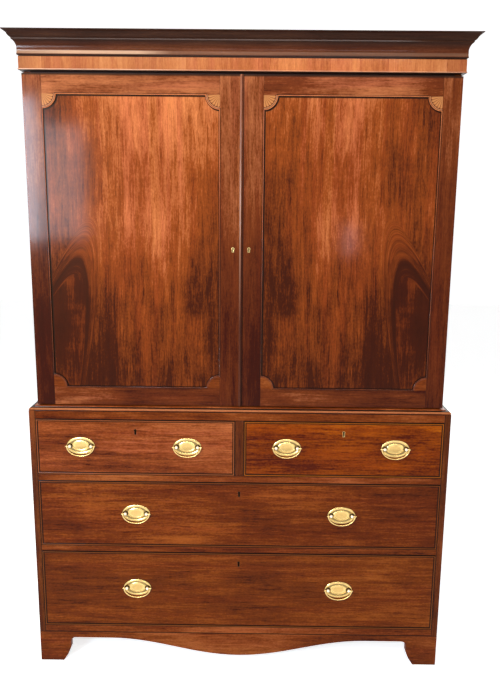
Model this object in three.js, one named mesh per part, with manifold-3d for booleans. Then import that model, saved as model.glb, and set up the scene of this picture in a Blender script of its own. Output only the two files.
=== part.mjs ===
// A linen press: a cupboard with two panelled doors and linen trays behind them, standing on a chest of
// two short and two long drawers. Millimetres, +Z up, the front faces -Y, +X to the right of someone
// who looks at the doors. The origin lies on the floor under the middle of the bounding box.

import * as THREE from "three";
import { mergeVertices } from "three/addons/utils/BufferGeometryUtils.js";
import Module from "manifold-3d";

const wasm = await Module();
wasm.setup();

// Driving sizes of the lower case
const lowerWidth = 1320;
const lowerDepth = 560;
const sideThickness = 20;
const backThickness = 10;
const topRailHeight = 27.5;
const shortOpeningHeight = 181;
const upperRailHeight = 23;
const middleOpeningHeight = 221;
const lowerRailHeight = 21;
const deepOpeningHeight = 264.5;
const bottomRailHeight = 24.5;
const railDepth = 60;
const dustBoardThickness = 12;
const dividerWidth = 29;
const guideHeight = 25;

// Base with its apron and bracket feet
const baseHeight = 107;
const baseThickness = 20;
const footWidth = 76;
const footTopWidth = 102;
const footCornerRadius = 16;
const archHeight = 85;
const archReach = 420;
const dropHeight = 27;
const kneeShare = 0.72;
const shinShare = 0.62;
const footBlockSize = 45;
const footBlockGap = 0.3;
const backFootWidth = 80;

// Drawers
const drawerGap = 0.8;
const runningGap = 0.3;
const drawerFrontThickness = 22;
const cockBeadWidth = 3.4;
const cockBeadProjection = 2.2;
const cockBeadDepth = 11;
const drawerSideThickness = 11;
const drawerBottomThickness = 8;
const drawerBottomRise = 9;
const drawerSideDrop = 6;
const drawerBackDrop = 14;
const drawerSideGap = 1.5;
const drawerBackGap = 16;

// Keyholes
const keyholeRadius = 3.2;
const keyholeSlotWidth = 4.2;
const drawerKeyholeSlot = 13;
const doorKeyholeSlot = 9;
const keyholeDepth = 14;
const drawerKeyholeDrop = 34;
const doorKeyholeInset = 24;
const doorKeyholeShare = 0.496;

// Handles
const plateWidth = 89;
const plateHeight = 57;
const plateRimHeight = 2.4;
const postSpacing = 67;
const postRadius = 4.6;
const postHeadRadius = 5.2;
const pivotHeight = 8.6;
const shankRadius = 2.4;
const shankClearance = 0.4;
const nutRadius = 6;
const nutThickness = 3.5;
const nutGap = 0.3;
const shankTail = 2;
const bailWidth = 85;
const bailDrop = 31.5;
const bailRadius = 2.2;
const bailPinRadius = 1.5;
const bailPinClearance = 0.45;
const bailTipLength = 1.6;
// Each drawer's handles: the left and right one's place out from the middle, as shares of half the width,
// and how high they sit, as a share of the height. They were fitted by eye, so the shares differ a little.
const handleShares = {
  top_left: [-0.553, 0.521, 0.525],
  top_right: [-0.57, 0.521, 0.531],
  middle: [-0.516, 0.514, 0.516],
  bottom: [-0.518, 0.511, 0.528],
};

// Upper case
const caseStep = 23;
const upperHeight = 1011;
const upperBoardThickness = 20;
const waistHeight = 12;

// Doors
const doorThickness = 22;
const doorClosingGap = 0.6;
const doorBottomGap = 3;
const doorTopGap = 7;
const outerStileWidth = 55.5;
const meetingStileWidth = 64;
const doorTopRailHeight = 56;
const doorBottomRailHeight = 57;
const panelCornerRadius = 39.5;
const doorLipThickness = 5;
const panelThickness = 9;
const panelHold = 9;
const panelPlay = 0.3;
const panelBeadWidth = 8;
const panelBeadSetback = 2;
const meetingOffset = 6;
const meetingGap = 1;
const astragalWidth = 11;
const astragalProjection = 5;

// Hinges
const hingeLength = 64;
const hingeInset = 130;
const hingeStandOff = 1;
const knuckleRadius = 2.8;
const hingePinRadius = 1.3;
const hingePinClearance = 0.3;
const leafThickness = 1.5;
const leafWidth = 17;
const leafGap = 0.3;
const hingeClearance = 0.4;

// Frieze and cornice
const friezeHeight = 37;
const friezeProjection = 6;
const friezeBearing = 12;
const friezeBackRail = 40;
const friezeBeadHeight = 4.5;
const friezeBeadProjection = 2;
const corniceHeight = 68.5;
const corniceProjection = 41;
const corniceLidThickness = 10;
const corniceLidDrop = 8;

// Linen trays
const trayCount = 4;
const trayTopSpaceShare = 0.5;
const trayHeight = 112;
const trayWallThickness = 11;
const trayBottomThickness = 8;
const trayFrontHeight = 78;
const trayScoopDepth = 34;
const trayScoopWidth = 420;
const traySideGap = 1.5;
const traySetback = 8;
const trayBackGap = 6;
const runnerWidth = 14;
const runnerHeight = 18;

// Fine values shared by all cuts and joins
const cutOverrun = 2;
const joinOverlap = 2;
const mergeTolerance = 0.001;

// Profile rows hold how far out and how far up each point lies, as shares of the moulding's projection
// and height, and how much the line that leads to it swells (above zero) or hollows, as a share of its
// own length.
const corniceShares = [
  [0.12, 0, 0],
  [0.12, 0.05, 0],
  [0.22, 0.06, 0],
  [0.22, 0.1, 0],
  [0.2, 0.26, -0.06],
  [0.45, 0.64, -0.13],
  [0.48, 0.64, 0],
  [0.48, 0.69, 0],
  [0.69, 0.82, 0.08],
  [0.96, 0.97, -0.12],
  [1, 0.97, 0],
  [1, 1, 0],
];
const waistShares = [
  [0.93, 0, 0],
  [0.93, 0.14, 0],
  [1, 0.16, 0],
  [1, 0.24, 0],
  [0.46, 0.76, 0.2],
  [0.44, 0.66, 0],
  [0.37, 0.66, 0],
  [0.35, 0.78, 0],
  [0.33, 1, 0],
  [0, 1, 0],
];
// The pressed oval's section: how far out from its centre and how high over its back, as shares of the
// plate's half width and of the rim's height.
const plateShares = [
  [0, 0],
  [1, 0],
  [1, 0.55],
  [0.95, 1],
  [0.88, 0.5],
  [0.64, 0.7],
  [0.57, 1.25],
  [0.44, 0.75],
  [0, 0.65],
];
// The post's section: out from its axis as shares of its radius, and along it as shares of the pivot's
// height. The post and its shank start inside the plate, at shares of the rim's height.
const postShares = [
  [1, 0.3],
  [0.7, 0.4],
];
const postStartShare = 0.25;
const shankStartShare = 0.5;

// Numbers of steps on curved outlines
const profileSteps = 12;
const apronSteps = 14;
const cornerSteps = 5;
const doorCornerSteps = 6;
const plateSteps = 20;
const postSteps = 8;
const headSteps = 3;
const boltSides = 6;
const bailSteps = 12;
const bailSides = 8;
const pinSides = 6;
const knuckleSides = 12;
const scoopSteps = 8;
const astragalSteps = 6;
const keyholeSteps = 8;

// Places along X, measured from the middle
const lowerHalf = lowerWidth / 2;
const lowerInner = lowerHalf - sideThickness;
const upperHalf = lowerHalf - caseStep;
const upperInner = upperHalf - sideThickness;

// Places along Y. The cornice or the handles reach furthest forwards, whichever stands out more.
const handleReach = pivotHeight + postHeadRadius;
const corniceReach = corniceProjection - caseStep;
const frontReach = Math.max(handleReach, corniceReach);
const frontY = (frontReach - lowerDepth) / 2;
const backY = frontY + lowerDepth;
const backInnerY = backY - backThickness;
const doorFrontY = frontY + caseStep;
const doorBackY = doorFrontY + doorThickness;
const caseFrontY = doorBackY + doorClosingGap;
const hingeY = doorBackY + doorClosingGap / 2;

// Places along Z, from the floor up
const deepOpeningZ = baseHeight + bottomRailHeight;
const lowerRailZ = deepOpeningZ + deepOpeningHeight;
const middleOpeningZ = lowerRailZ + lowerRailHeight;
const upperRailZ = middleOpeningZ + middleOpeningHeight;
const shortOpeningZ = upperRailZ + upperRailHeight;
const topRailZ = shortOpeningZ + shortOpeningHeight;
const lowerTopZ = topRailZ + topRailHeight;
const waistTopZ = lowerTopZ + waistHeight;
const doorBottomZ = waistTopZ + doorBottomGap;
const friezeZ = lowerTopZ + upperHeight;
const doorTopZ = friezeZ - doorTopGap;
const corniceZ = friezeZ + friezeHeight;
const topZ = corniceZ + corniceHeight;

// Colours and gloss
const mahogany = material(0x7a3216, 0.35);
const figuredMahogany = material(0x8c3f17, 0.3);
const darkMahogany = material(0x4d1f12, 0.35);
const crossBanding = material(0xa1551f, 0.35);
const drawerLining = material(0x9a7346, 0.7);
const brass = material(0xd6ad4b, 0.25, 1);

function material(color, roughness, metalness = 0) {
  return new THREE.MeshStandardMaterial({ color, roughness, metalness });
}

const press = new THREE.Group();

// Adds one named piece to a group.
function add(name, geometry, finish, group = press) {
  const mesh = new THREE.Mesh(geometry, finish);
  mesh.name = name;
  group.add(mesh);
  return mesh;
}

// Solids for joining and cutting
function solidOf(geometry) {
  const bare = geometry.index ? geometry.toNonIndexed() : geometry.clone();
  bare.deleteAttribute("normal");
  bare.deleteAttribute("uv");
  const merged = mergeVertices(bare, mergeTolerance);
  const vertProperties = merged.attributes.position.array;
  const triVerts = new Uint32Array(merged.index.array);
  return new wasm.Manifold(new wasm.Mesh({ numProp: 3, vertProperties, triVerts }));
}

function geometryOf(solid) {
  const { vertProperties, triVerts } = solid.getMesh();
  const geometry = new THREE.BufferGeometry();
  geometry.setAttribute("position", new THREE.BufferAttribute(vertProperties, 3));
  geometry.setIndex(new THREE.BufferAttribute(triVerts, 1));
  geometry.computeVertexNormals();
  return geometry;
}

function joined(...geometries) {
  return geometryOf(geometries.map(solidOf).reduce((sum, next) => sum.add(next)));
}

function cut(geometry, ...tools) {
  return geometryOf(tools.map(solidOf).reduce((rest, tool) => rest.subtract(tool), solidOf(geometry)));
}

// A box between two corners, given in any order. The faces lie exactly at the given places.
function box(cornerA, cornerB) {
  const low = cornerA.map((a, i) => Math.min(a, cornerB[i]));
  const high = cornerA.map((a, i) => Math.max(a, cornerB[i]));
  const geometry = new THREE.BoxGeometry(1, 1, 1);
  const { array } = geometry.attributes.position;
  array.forEach((value, i) => (array[i] = value < 0 ? low[i % 3] : high[i % 3]));
  return geometry;
}

// Directions that a flat outline's right, its up and its thickness take in the part.
const X = new THREE.Vector3(1, 0, 0);
const Y = new THREE.Vector3(0, 1, 0);
const Z = new THREE.Vector3(0, 0, 1);
const fromFront = new THREE.Matrix4().makeBasis(X, Z, Y.clone().negate());
const fromSide = new THREE.Matrix4().makeBasis(Y, Z, X);
const fromAbove = new THREE.Matrix4().makeBasis(X, Y, Z);

// A shape made thick between two places along its own thickness.
function slab(shape, start, end, directions = fromAbove) {
  const settings = { depth: 1, bevelEnabled: false, curveSegments: doorCornerSteps };
  const geometry = new THREE.ExtrudeGeometry(shape, settings);
  const places = geometry.attributes.position;
  for (let i = 0; i < places.count; i++) {
    places.setZ(i, places.getZ(i) ? Math.max(start, end) : Math.min(start, end));
  }
  return geometry.applyMatrix4(directions);
}

// A board whose outline is seen from the front, between two places along Y.
function frontBoard(shape, y0, y1) {
  return slab(shape, -y0, -y1, fromFront);
}

// A board whose outline is seen from the side, between two places along X.
function sideBoard(shape, x0, x1) {
  return slab(shape, x0, x1, fromSide);
}

function shapeOf(points) {
  return new THREE.Shape(points.map(([a, b]) => new THREE.Vector2(a, b)));
}

function rectangle(x0, y0, x1, y1) {
  return shapeOf([[x0, y0], [x1, y0], [x1, y1], [x0, y1]]);
}

// A rectangular ring: an outer rectangle with an inner one taken out.
function ring(outer, inner) {
  const shape = rectangle(...outer);
  shape.holes.push(rectangle(...inner));
  return shape;
}

// Turns profile rows into points: each row's line swells or hollows as its third share says.
function profilePoints(rows, projection, height) {
  const points = [];
  rows.forEach(([out, up, bulge], i) => {
    const end = new THREE.Vector2(out * projection, up * height);
    if (i && bulge) {
      const start = points[points.length - 1];
      const along = end.clone().sub(start);
      const outwards = new THREE.Vector2(along.y, -along.x).multiplyScalar(2 * bulge);
      const control = start.clone().add(end).multiplyScalar(1 / 2).add(outwards);
      const curve = new THREE.QuadraticBezierCurve(start, control, end);
      points.push(...curve.getPoints(profileSteps).slice(1, -1));
    }
    points.push(end);
  });
  return points;
}

// A moulding mitred round the front and both sides: the profile gives how far out from the faces and how
// far up from z each point lies.
function mitredMoulding(profile, faceX, faceY, z) {
  const outline = THREE.ShapeUtils.isClockWise(profile) ? [...profile].reverse() : profile;
  const count = outline.length;
  const stations = [
    (p) => [-faceX - p.x, backY, z + p.y],
    (p) => [-faceX - p.x, faceY - p.x, z + p.y],
    (p) => [faceX + p.x, faceY - p.x, z + p.y],
    (p) => [faceX + p.x, backY, z + p.y],
  ];
  const places = stations.flatMap((station) => outline.flatMap(station));
  const faces = THREE.ShapeUtils.triangulateShape(outline, []);
  const last = count * (stations.length - 1);
  const triangles = faces.flatMap(([a, b, c]) => [a, b, c, last + a, last + c, last + b]);
  for (let from = 0; from < last; from += count) {
    for (let i = 0; i < count; i++) {
      const a = from + i;
      const b = from + ((i + 1) % count);
      triangles.push(a, b + count, b, a, a + count, b + count);
    }
  }
  const geometry = new THREE.BufferGeometry();
  geometry.setAttribute("position", new THREE.Float32BufferAttribute(places, 3));
  geometry.setIndex(triangles);
  return geometry;
}

// A round bar between two places along X, Y or Z.
function bar(directions, centre, radius, from, to, sides) {
  const circle = new THREE.Shape();
  for (let i = 0; i < sides; i++) {
    const angle = (2 * Math.PI * i) / sides;
    const across = centre[0] + radius * Math.cos(angle);
    const upwards = centre[1] + radius * Math.sin(angle);
    if (i) circle.lineTo(across, upwards);
    else circle.moveTo(across, upwards);
  }
  return slab(circle, from, to, directions);
}

// The lower case
function lowerSide(side) {
  return box([side * lowerInner, frontY, baseHeight], [side * lowerHalf, backY, lowerTopZ]);
}

function backBoard(halfWidth, low, high) {
  return box([-halfWidth, backInnerY, low], [halfWidth, backY, high]);
}

// A rail with the board behind it, flush at their tops, as one glued piece.
function railAndBoard(z, height) {
  const railBackY = frontY + railDepth;
  const top = z + height;
  const boardZ = top - dustBoardThickness;
  const outline = [
    [frontY, z], [railBackY, z], [railBackY, boardZ],
    [backInnerY, boardZ], [backInnerY, top], [frontY, top],
  ];
  return sideBoard(shapeOf(outline), -lowerInner, lowerInner);
}

// The upright between the short drawers, with the low guide that runs back from it.
function drawerDivider() {
  const muntinBackY = frontY + railDepth;
  const guideZ = shortOpeningZ + guideHeight;
  const outline = [
    [frontY, shortOpeningZ], [backInnerY, shortOpeningZ], [backInnerY, guideZ],
    [muntinBackY, guideZ], [muntinBackY, topRailZ], [frontY, topRailZ],
  ];
  return sideBoard(shapeOf(outline), -dividerWidth / 2, dividerWidth / 2);
}

// The waist moulding, with the strip that runs back under the doors.
function waistMoulding() {
  const profile = profilePoints([[0, 0, 0], ...waistShares], caseStep, waistHeight);
  const moulding = mitredMoulding(profile, upperHalf, doorFrontY, lowerTopZ);
  const strip = box(
    [-upperHalf - joinOverlap, doorFrontY - joinOverlap, lowerTopZ],
    [upperHalf + joinOverlap, caseFrontY, waistTopZ],
  );
  return joined(moulding, strip);
}

// One bracket foot's inner edge, from the apron down to the floor, as distances from the foot's outer edge.
function footEdge() {
  const points = [];
  for (let i = 0; i <= cornerSteps; i++) {
    const angle = (Math.PI / 2) * (i / cornerSteps);
    const away = footTopWidth + footCornerRadius * (1 - Math.sin(angle));
    points.push([away, archHeight - footCornerRadius * (1 - Math.cos(angle))]);
  }
  const kneeHeight = (archHeight - footCornerRadius) * kneeShare;
  const shinWidth = footWidth + (footTopWidth - footWidth) * shinShare;
  points.push([footTopWidth, kneeHeight], [shinWidth, kneeHeight / 2], [footWidth, 0]);
  return points;
}

// The front of the base: its lower edge falls in a wave from the arch beside each foot to the middle.
function baseFront() {
  const half = [];
  for (let i = 0; i <= apronSteps; i++) {
    const rise = (1 - Math.cos((Math.PI * i) / apronSteps)) / 2;
    half.push([(archReach * i) / apronSteps, dropHeight + (archHeight - dropHeight) * rise]);
  }
  half.push(...footEdge().map(([away, z]) => [lowerHalf - away, z]));
  half.push([lowerHalf, 0], [lowerHalf, baseHeight]);
  const mirrored = half.slice(1).reverse().map(([x, z]) => [-x, z]);
  const board = frontBoard(shapeOf([...mirrored, ...half]), frontY, frontY + baseThickness);
  const innerX = lowerHalf - baseThickness - footBlockGap;
  const blocks = [-1, 1].map((side) =>
    box(
      [side * innerX, frontY + baseThickness - joinOverlap, 0],
      [side * (innerX - footBlockSize), frontY + baseThickness + footBlockSize, baseHeight],
    ),
  );
  return joined(board, ...blocks);
}

// One side of the base, with its front and back feet and the plain return behind the back foot.
function baseSide(side) {
  const startY = frontY + baseThickness;
  const front = footEdge().reverse().map(([away, z]) => [frontY + away, z]);
  const back = footEdge().map(([away, z]) => [backY - away, z]);
  const outline = [[startY, 0], ...front, ...back, [backY, 0], [backY, baseHeight], [startY, baseHeight]];
  const innerX = lowerHalf - baseThickness;
  const board = sideBoard(shapeOf(outline), ...(side < 0 ? [-lowerHalf, -innerX] : [innerX, lowerHalf]));
  const backReturn = box(
    [side * (innerX + joinOverlap), backY - baseThickness, 0],
    [side * (lowerHalf - backFootWidth), backY, baseHeight],
  );
  return joined(board, backReturn);
}

// The upper case
function upperSide(side) {
  const board = box([side * upperInner, caseFrontY, lowerTopZ], [side * upperHalf, backY, friezeZ]);
  const runners = trayHeights().map((z) =>
    box(
      [side * (upperInner + joinOverlap), caseFrontY + traySetback, z - runnerHeight],
      [side * (upperInner - runnerWidth), backInnerY, z],
    ),
  );
  const axisX = side * (upperHalf + hingeStandOff);
  const recesses = hingeHeights().flatMap((z) => hingeRecess(axisX, -side, 1, z));
  return cut(joined(board, ...runners), ...recesses);
}

function upperBoard(z) {
  return box([-upperInner, caseFrontY, z], [upperInner, backInnerY, z + upperBoardThickness]);
}

// Where each tray's underside lies
function trayHeights() {
  const floorZ = lowerTopZ + upperBoardThickness;
  const ceilingZ = friezeZ - upperBoardThickness;
  const pitch = (ceilingZ - floorZ) / (trayCount + trayTopSpaceShare);
  return Array.from({ length: trayCount }, (_, i) => floorZ + runnerHeight + i * pitch);
}

function linenTray(z) {
  const halfWidth = upperInner - traySideGap;
  const startY = caseFrontY + traySetback;
  const endY = backInnerY - trayBackGap;
  const wall = trayWallThickness;
  const block = box([-halfWidth, startY, z], [halfWidth, endY, z + trayHeight]);
  const inside = box(
    [wall - halfWidth, startY + wall, z + trayBottomThickness],
    [halfWidth - wall, endY - wall, z + trayHeight + cutOverrun],
  );
  const frontZ = z + trayFrontHeight;
  const scoop = [[-halfWidth - cutOverrun, frontZ]];
  for (let i = 0; i <= scoopSteps; i++) {
    const along = (2 * i) / scoopSteps - 1;
    scoop.push([(trayScoopWidth / 2) * along, frontZ - trayScoopDepth * (1 - along * along)]);
  }
  scoop.push([halfWidth + cutOverrun, frontZ], [halfWidth + cutOverrun, z + trayHeight + cutOverrun]);
  scoop.push([-halfWidth - cutOverrun, z + trayHeight + cutOverrun]);
  const scoopCut = frontBoard(shapeOf(scoop), startY - cutOverrun, startY + wall);
  return cut(block, inside, scoopCut);
}

// The frieze: a frame that stands on the upper case, with a small bead along its lower edge.
function frieze() {
  const outX = upperHalf + friezeProjection;
  const plan = ring(
    [-outX, doorFrontY - friezeProjection, outX, backY],
    [-upperInner, caseFrontY + friezeBearing, upperInner, backY - friezeBackRail],
  );
  const frame = slab(plan, friezeZ, corniceZ);
  const reach = friezeProjection + friezeBeadProjection;
  const bead = [new THREE.Vector2(friezeProjection - joinOverlap, 0)];
  for (let i = 0; i <= profileSteps; i++) {
    const angle = Math.PI * (i / profileSteps - 1 / 2);
    const x = friezeProjection + (reach - friezeProjection) * Math.cos(angle);
    bead.push(new THREE.Vector2(x, (friezeBeadHeight / 2) * (1 + Math.sin(angle))));
  }
  bead.push(new THREE.Vector2(friezeProjection - joinOverlap, friezeBeadHeight));
  return joined(frame, mitredMoulding(bead, upperHalf, doorFrontY, friezeZ));
}

// The cornice, with its back rail and the lid that closes it near its top.
function cornice() {
  const rows = profilePoints(corniceShares, corniceProjection, corniceHeight);
  const inside = -sideThickness;
  const profile = [new THREE.Vector2(inside, 0), ...rows, new THREE.Vector2(inside, corniceHeight)];
  const moulding = mitredMoulding(profile, upperHalf, doorFrontY, corniceZ);
  const lidTop = topZ - corniceLidDrop;
  const lid = box(
    [-upperInner - joinOverlap, doorFrontY + sideThickness - joinOverlap, lidTop - corniceLidThickness],
    [upperInner + joinOverlap, backY, lidTop],
  );
  const backRail = box(
    [-upperInner - joinOverlap, backY - sideThickness, corniceZ],
    [upperInner + joinOverlap, backY, lidTop - joinOverlap],
  );
  return joined(moulding, lid, backRail);
}

// Hinges. A leaf lies along the door's back or the case's front edge, its knuckles turn on the pin.
function hingeHeights() {
  const middle = hingeInset + hingeLength / 2;
  return [doorBottomZ + middle, doorTopZ - middle];
}

// The room cut for one leaf and for the knuckles: inward is the way along X from the axis to the wood,
// deep is the way along Y into it.
function hingeRecess(axisX, inward, deep, z, axisY = hingeY) {
  const half = hingeLength / 2 + hingeClearance;
  const seat = leafGap / 2 + leafThickness + hingeClearance;
  const room = knuckleRadius + hingeClearance;
  const outX = axisX - inward * (room + hingeStandOff);
  const leafX = axisX + inward * (leafWidth + hingeClearance);
  const start = [outX, axisY - deep * cutOverrun, z - half];
  return [
    box(start, [leafX, axisY + deep * seat, z + half]),
    box(start, [axisX + inward * room, axisY + deep * room, z + half]),
  ];
}

// A leaf's plate with the tabs that join it to its knuckles, around an axis at x = y = 0.
function leafPlate(inward, deep, tabs, tabStart) {
  const nearY = (deep * leafGap) / 2;
  const farY = nearY + deep * leafThickness;
  const start = knuckleRadius + hingeClearance;
  const plate = box(
    [inward * start, nearY, -hingeLength / 2],
    [inward * leafWidth, farY, hingeLength / 2],
  );
  const tongues = tabs.map(([low, high]) =>
    box([inward * tabStart, nearY, low], [inward * (start + joinOverlap), farY, high]),
  );
  return [plate, ...tongues];
}

// The leaf on the case: the outer two knuckles, and the pin right through.
function fixedLeaf(inward) {
  const end = hingeLength / 2;
  const tabs = [[-end, -end / 3], [end / 3, end]];
  const centre = [0, 0];
  const knuckles = tabs.map(([low, high]) =>
    bar(fromAbove, centre, knuckleRadius, low, high, knuckleSides),
  );
  const pin = bar(fromAbove, centre, hingePinRadius, -end, end, knuckleSides);
  return joined(...leafPlate(inward, 1, tabs, 0), ...knuckles, pin);
}

// The leaf on the door: the middle knuckle, bored for the pin.
function movingLeaf(inward) {
  const end = hingeLength / 6 - hingeClearance;
  const bore = hingePinRadius + hingePinClearance;
  const tabs = [[-end, end]];
  const knuckle = cut(
    bar(fromAbove, [0, 0], knuckleRadius, -end, end, knuckleSides),
    bar(fromAbove, [0, 0], bore, -end - cutOverrun, end + cutOverrun, knuckleSides),
  );
  return joined(...leafPlate(inward, -1, tabs, (knuckleRadius + bore) / 2), knuckle);
}

// Doors. A door's group has its origin on its hinge axis, at the door's lower edge.
const hingeX = upperHalf + hingeStandOff;
const doorHeight = doorTopZ - doorBottomZ;
const doorStartY = doorFrontY - hingeY;
const doorEndY = doorBackY - hingeY;

// How far from the hinge axis the door's meeting edge lies
function meetingReach(side) {
  return side < 0 ? hingeX + meetingOffset : hingeX - meetingOffset - meetingGap;
}

// The door's opening as low and high X and Z, grown on all four sides by a margin.
function doorOpening(side, margin = 0) {
  const near = hingeStandOff + outerStileWidth - margin;
  const far = hingeX - meetingStileWidth + margin;
  const xs = [-side * near, -side * far].sort((a, b) => a - b);
  return [xs[0], doorBottomRailHeight - margin, xs[1], doorHeight - doorTopRailHeight + margin];
}

// The opening's outline: a rectangle with a quarter round standing into it at each corner.
function shapedOpening([x0, z0, x1, z1]) {
  const r = panelCornerRadius;
  const quarter = Math.PI / 2;
  const path = new THREE.Path();
  path.moveTo(x0 + r, z0);
  path.lineTo(x1 - r, z0);
  path.absarc(x1, z0, r, 2 * quarter, quarter, true);
  path.lineTo(x1, z1 - r);
  path.absarc(x1, z1, r, 3 * quarter, 2 * quarter, true);
  path.lineTo(x0 + r, z1);
  path.absarc(x0, z1, r, 4 * quarter, 3 * quarter, true);
  path.lineTo(x0, z0 + r);
  path.absarc(x0, z0, r, quarter, 0, true);
  return path;
}

// Stiles and rails as one glued frame: a thin lip with the shaped opening, and behind it a rebate for
// the panel.
function doorFrame(side) {
  const edges = [-side * hingeStandOff, -side * meetingReach(side)].sort((a, b) => a - b);
  const outer = [edges[0], 0, edges[1], doorHeight];
  const lipShape = rectangle(...outer);
  lipShape.holes.push(shapedOpening(doorOpening(side)));
  const lip = frontBoard(lipShape, doorStartY, doorStartY + doorLipThickness);
  const rebated = ring(outer, doorOpening(side, panelHold));
  const back = frontBoard(rebated, doorStartY + doorLipThickness - joinOverlap, doorEndY);
  const hinges = hingeHeights().flatMap((z) => hingeRecess(0, -side, -1, z - doorBottomZ, 0));
  const keyX = -side * (hingeX - doorKeyholeInset);
  const keyZ = doorHeight * doorKeyholeShare;
  const key = keyhole(keyX, keyZ, doorKeyholeSlot, doorStartY, doorThickness);
  return cut(joined(lip, back), ...hinges, key);
}

// The panel with the beads that hold it in its rebate.
function doorPanel(side) {
  const outer = doorOpening(side, panelHold - panelPlay);
  const inner = doorOpening(side, panelHold - panelPlay - panelBeadWidth);
  const frontFaceY = doorStartY + doorLipThickness;
  const backFaceY = frontFaceY + panelThickness;
  const panel = frontBoard(rectangle(...outer), frontFaceY, backFaceY);
  const beads = frontBoard(ring(outer, inner), backFaceY - joinOverlap, doorEndY - panelBeadSetback);
  return joined(panel, beads);
}

// The half-round bead on the left door's meeting edge.
function astragal(side) {
  const edge = -side * meetingReach(side);
  const points = [];
  for (let i = 0; i <= astragalSteps; i++) {
    const angle = Math.PI * (1 - i / astragalSteps);
    const x = edge + (astragalWidth / 2) * (side + Math.cos(angle));
    points.push([x, doorStartY - astragalProjection * Math.sin(angle)]);
  }
  return slab(shapeOf(points), 0, doorHeight);
}

// A keyhole's outline, round above and a slot below, sunk from a front face.
function keyhole(x, z, slot, faceY, depth) {
  const half = keyholeSlotWidth / 2;
  const shoulder = Math.sqrt(keyholeRadius ** 2 - half ** 2);
  const start = Math.atan2(-shoulder, half);
  const points = [[x - half, z - slot], [x + half, z - slot]];
  for (let i = 0; i <= keyholeSteps; i++) {
    const angle = start + ((Math.PI - 2 * start) * i) / keyholeSteps;
    points.push([x + keyholeRadius * Math.cos(angle), z + keyholeRadius * Math.sin(angle)]);
  }
  return frontBoard(shapeOf(points), faceY - cutOverrun, faceY + depth + cutOverrun);
}

// Drawers. A drawer's group has its origin at the middle of its opening's lower edge, on the front plane.
function drawerFront(width, height, handles) {
  const halfWidth = width / 2 - drawerGap;
  const outer = [-halfWidth, drawerGap, halfWidth, height - drawerGap];
  const inner = [
    cockBeadWidth - halfWidth, drawerGap + cockBeadWidth, halfWidth - cockBeadWidth,
    height - drawerGap - cockBeadWidth,
  ];
  const board = frontBoard(rectangle(...outer), 0, drawerFrontThickness);
  const bead = frontBoard(ring(outer, inner), -cockBeadProjection, cockBeadDepth);
  const holes = handles.flatMap(([x, z]) =>
    [-1, 1].map((side) =>
      bar(
        fromFront, [x + (side * postSpacing) / 2, z], shankRadius + shankClearance,
        -drawerFrontThickness - cutOverrun, cutOverrun, boltSides,
      ),
    ),
  );
  const key = keyhole(0, height - drawerKeyholeDrop, drawerKeyholeSlot, 0, keyholeDepth);
  return cut(joined(board, bead), ...holes, key);
}

// The drawer's sides, back and bottom: the bottom sits above the sides' lower edges.
function drawerBox(width, height) {
  const halfWidth = width / 2 - drawerSideGap;
  const startY = drawerFrontThickness;
  const endY = lowerDepth - backThickness - drawerBackGap;
  const top = height - drawerSideDrop;
  const innerX = halfWidth - drawerSideThickness;
  const bottomZ = runningGap + drawerBottomRise;
  const block = box([-halfWidth, startY, runningGap], [halfWidth, endY, top]);
  const inside = box(
    [-innerX, startY - cutOverrun, bottomZ + drawerBottomThickness],
    [innerX, endY - drawerSideThickness, top + cutOverrun],
  );
  const under = box([-innerX, startY - cutOverrun, 0], [innerX, endY + cutOverrun, bottomZ]);
  const overBack = box(
    [-innerX, endY - drawerSideThickness - cutOverrun, top - drawerBackDrop],
    [innerX, endY + cutOverrun, top + cutOverrun],
  );
  return cut(block, inside, under, overBack);
}

// Handles. A handle's group has its origin on the drawer's face, in the middle of the plate.
function turnedTowardsFront(profile, steps) {
  const points = profile.map(([out, along]) => new THREE.Vector2(out, along));
  const toFront = new THREE.Matrix4().makeBasis(X, Y.clone().negate(), Z.clone().negate());
  return new THREE.LatheGeometry(points, steps).applyMatrix4(toFront);
}

// A turned post: a collar, a neck and a round head, bored from its outer side for the bail's pin.
function handlePost(side) {
  const start = plateRimHeight * postStartShare;
  const profile = [[0, start], [postRadius, start]];
  profile.push(...postShares.map(([out, along]) => [out * postRadius, along * pivotHeight]));
  for (let i = 1; i <= headSteps; i++) {
    const angle = Math.PI * (i / headSteps - 1 / 2);
    const out = i < headSteps ? postHeadRadius * Math.cos(angle) : 0;
    profile.push([out, pivotHeight + postHeadRadius * Math.sin(angle)]);
  }
  const head = turnedTowardsFront(profile, postSteps);
  const bore = bailPinRadius + bailPinClearance;
  const hole = bar(fromSide, [-pivotHeight, 0], bore, 0, side * (postHeadRadius + cutOverrun), pinSides);
  return cut(head, hole).translate((side * postSpacing) / 2, 0, 0);
}

// The shank through the drawer front, with its nut inside.
function handleShank(side) {
  const centre = [(side * postSpacing) / 2, 0];
  const nutY = drawerFrontThickness + nutGap;
  const end = -nutY - nutThickness;
  return [
    bar(fromFront, centre, shankRadius, end - shankTail, plateRimHeight * shankStartShare, boltSides),
    bar(fromFront, centre, nutRadius, end, -nutY, boltSides),
  ];
}

function handlePlate() {
  const profile = plateShares.map(([out, high]) => [(out * plateWidth) / 2, high * plateRimHeight]);
  const plate = turnedTowardsFront(profile, plateSteps).scale(1, 1, plateHeight / plateWidth);
  return joined(plate, ...[-1, 1].flatMap((side) => [handlePost(side), ...handleShank(side)]));
}

// Half an oval, hanging down from one pivot to the other.
class BailCurve extends THREE.Curve {
  getPoint(t, target = new THREE.Vector3()) {
    const angle = -Math.PI * t;
    return target.set((bailWidth / 2) * Math.cos(angle), -pivotHeight, bailDrop * Math.sin(angle));
  }
}

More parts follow.
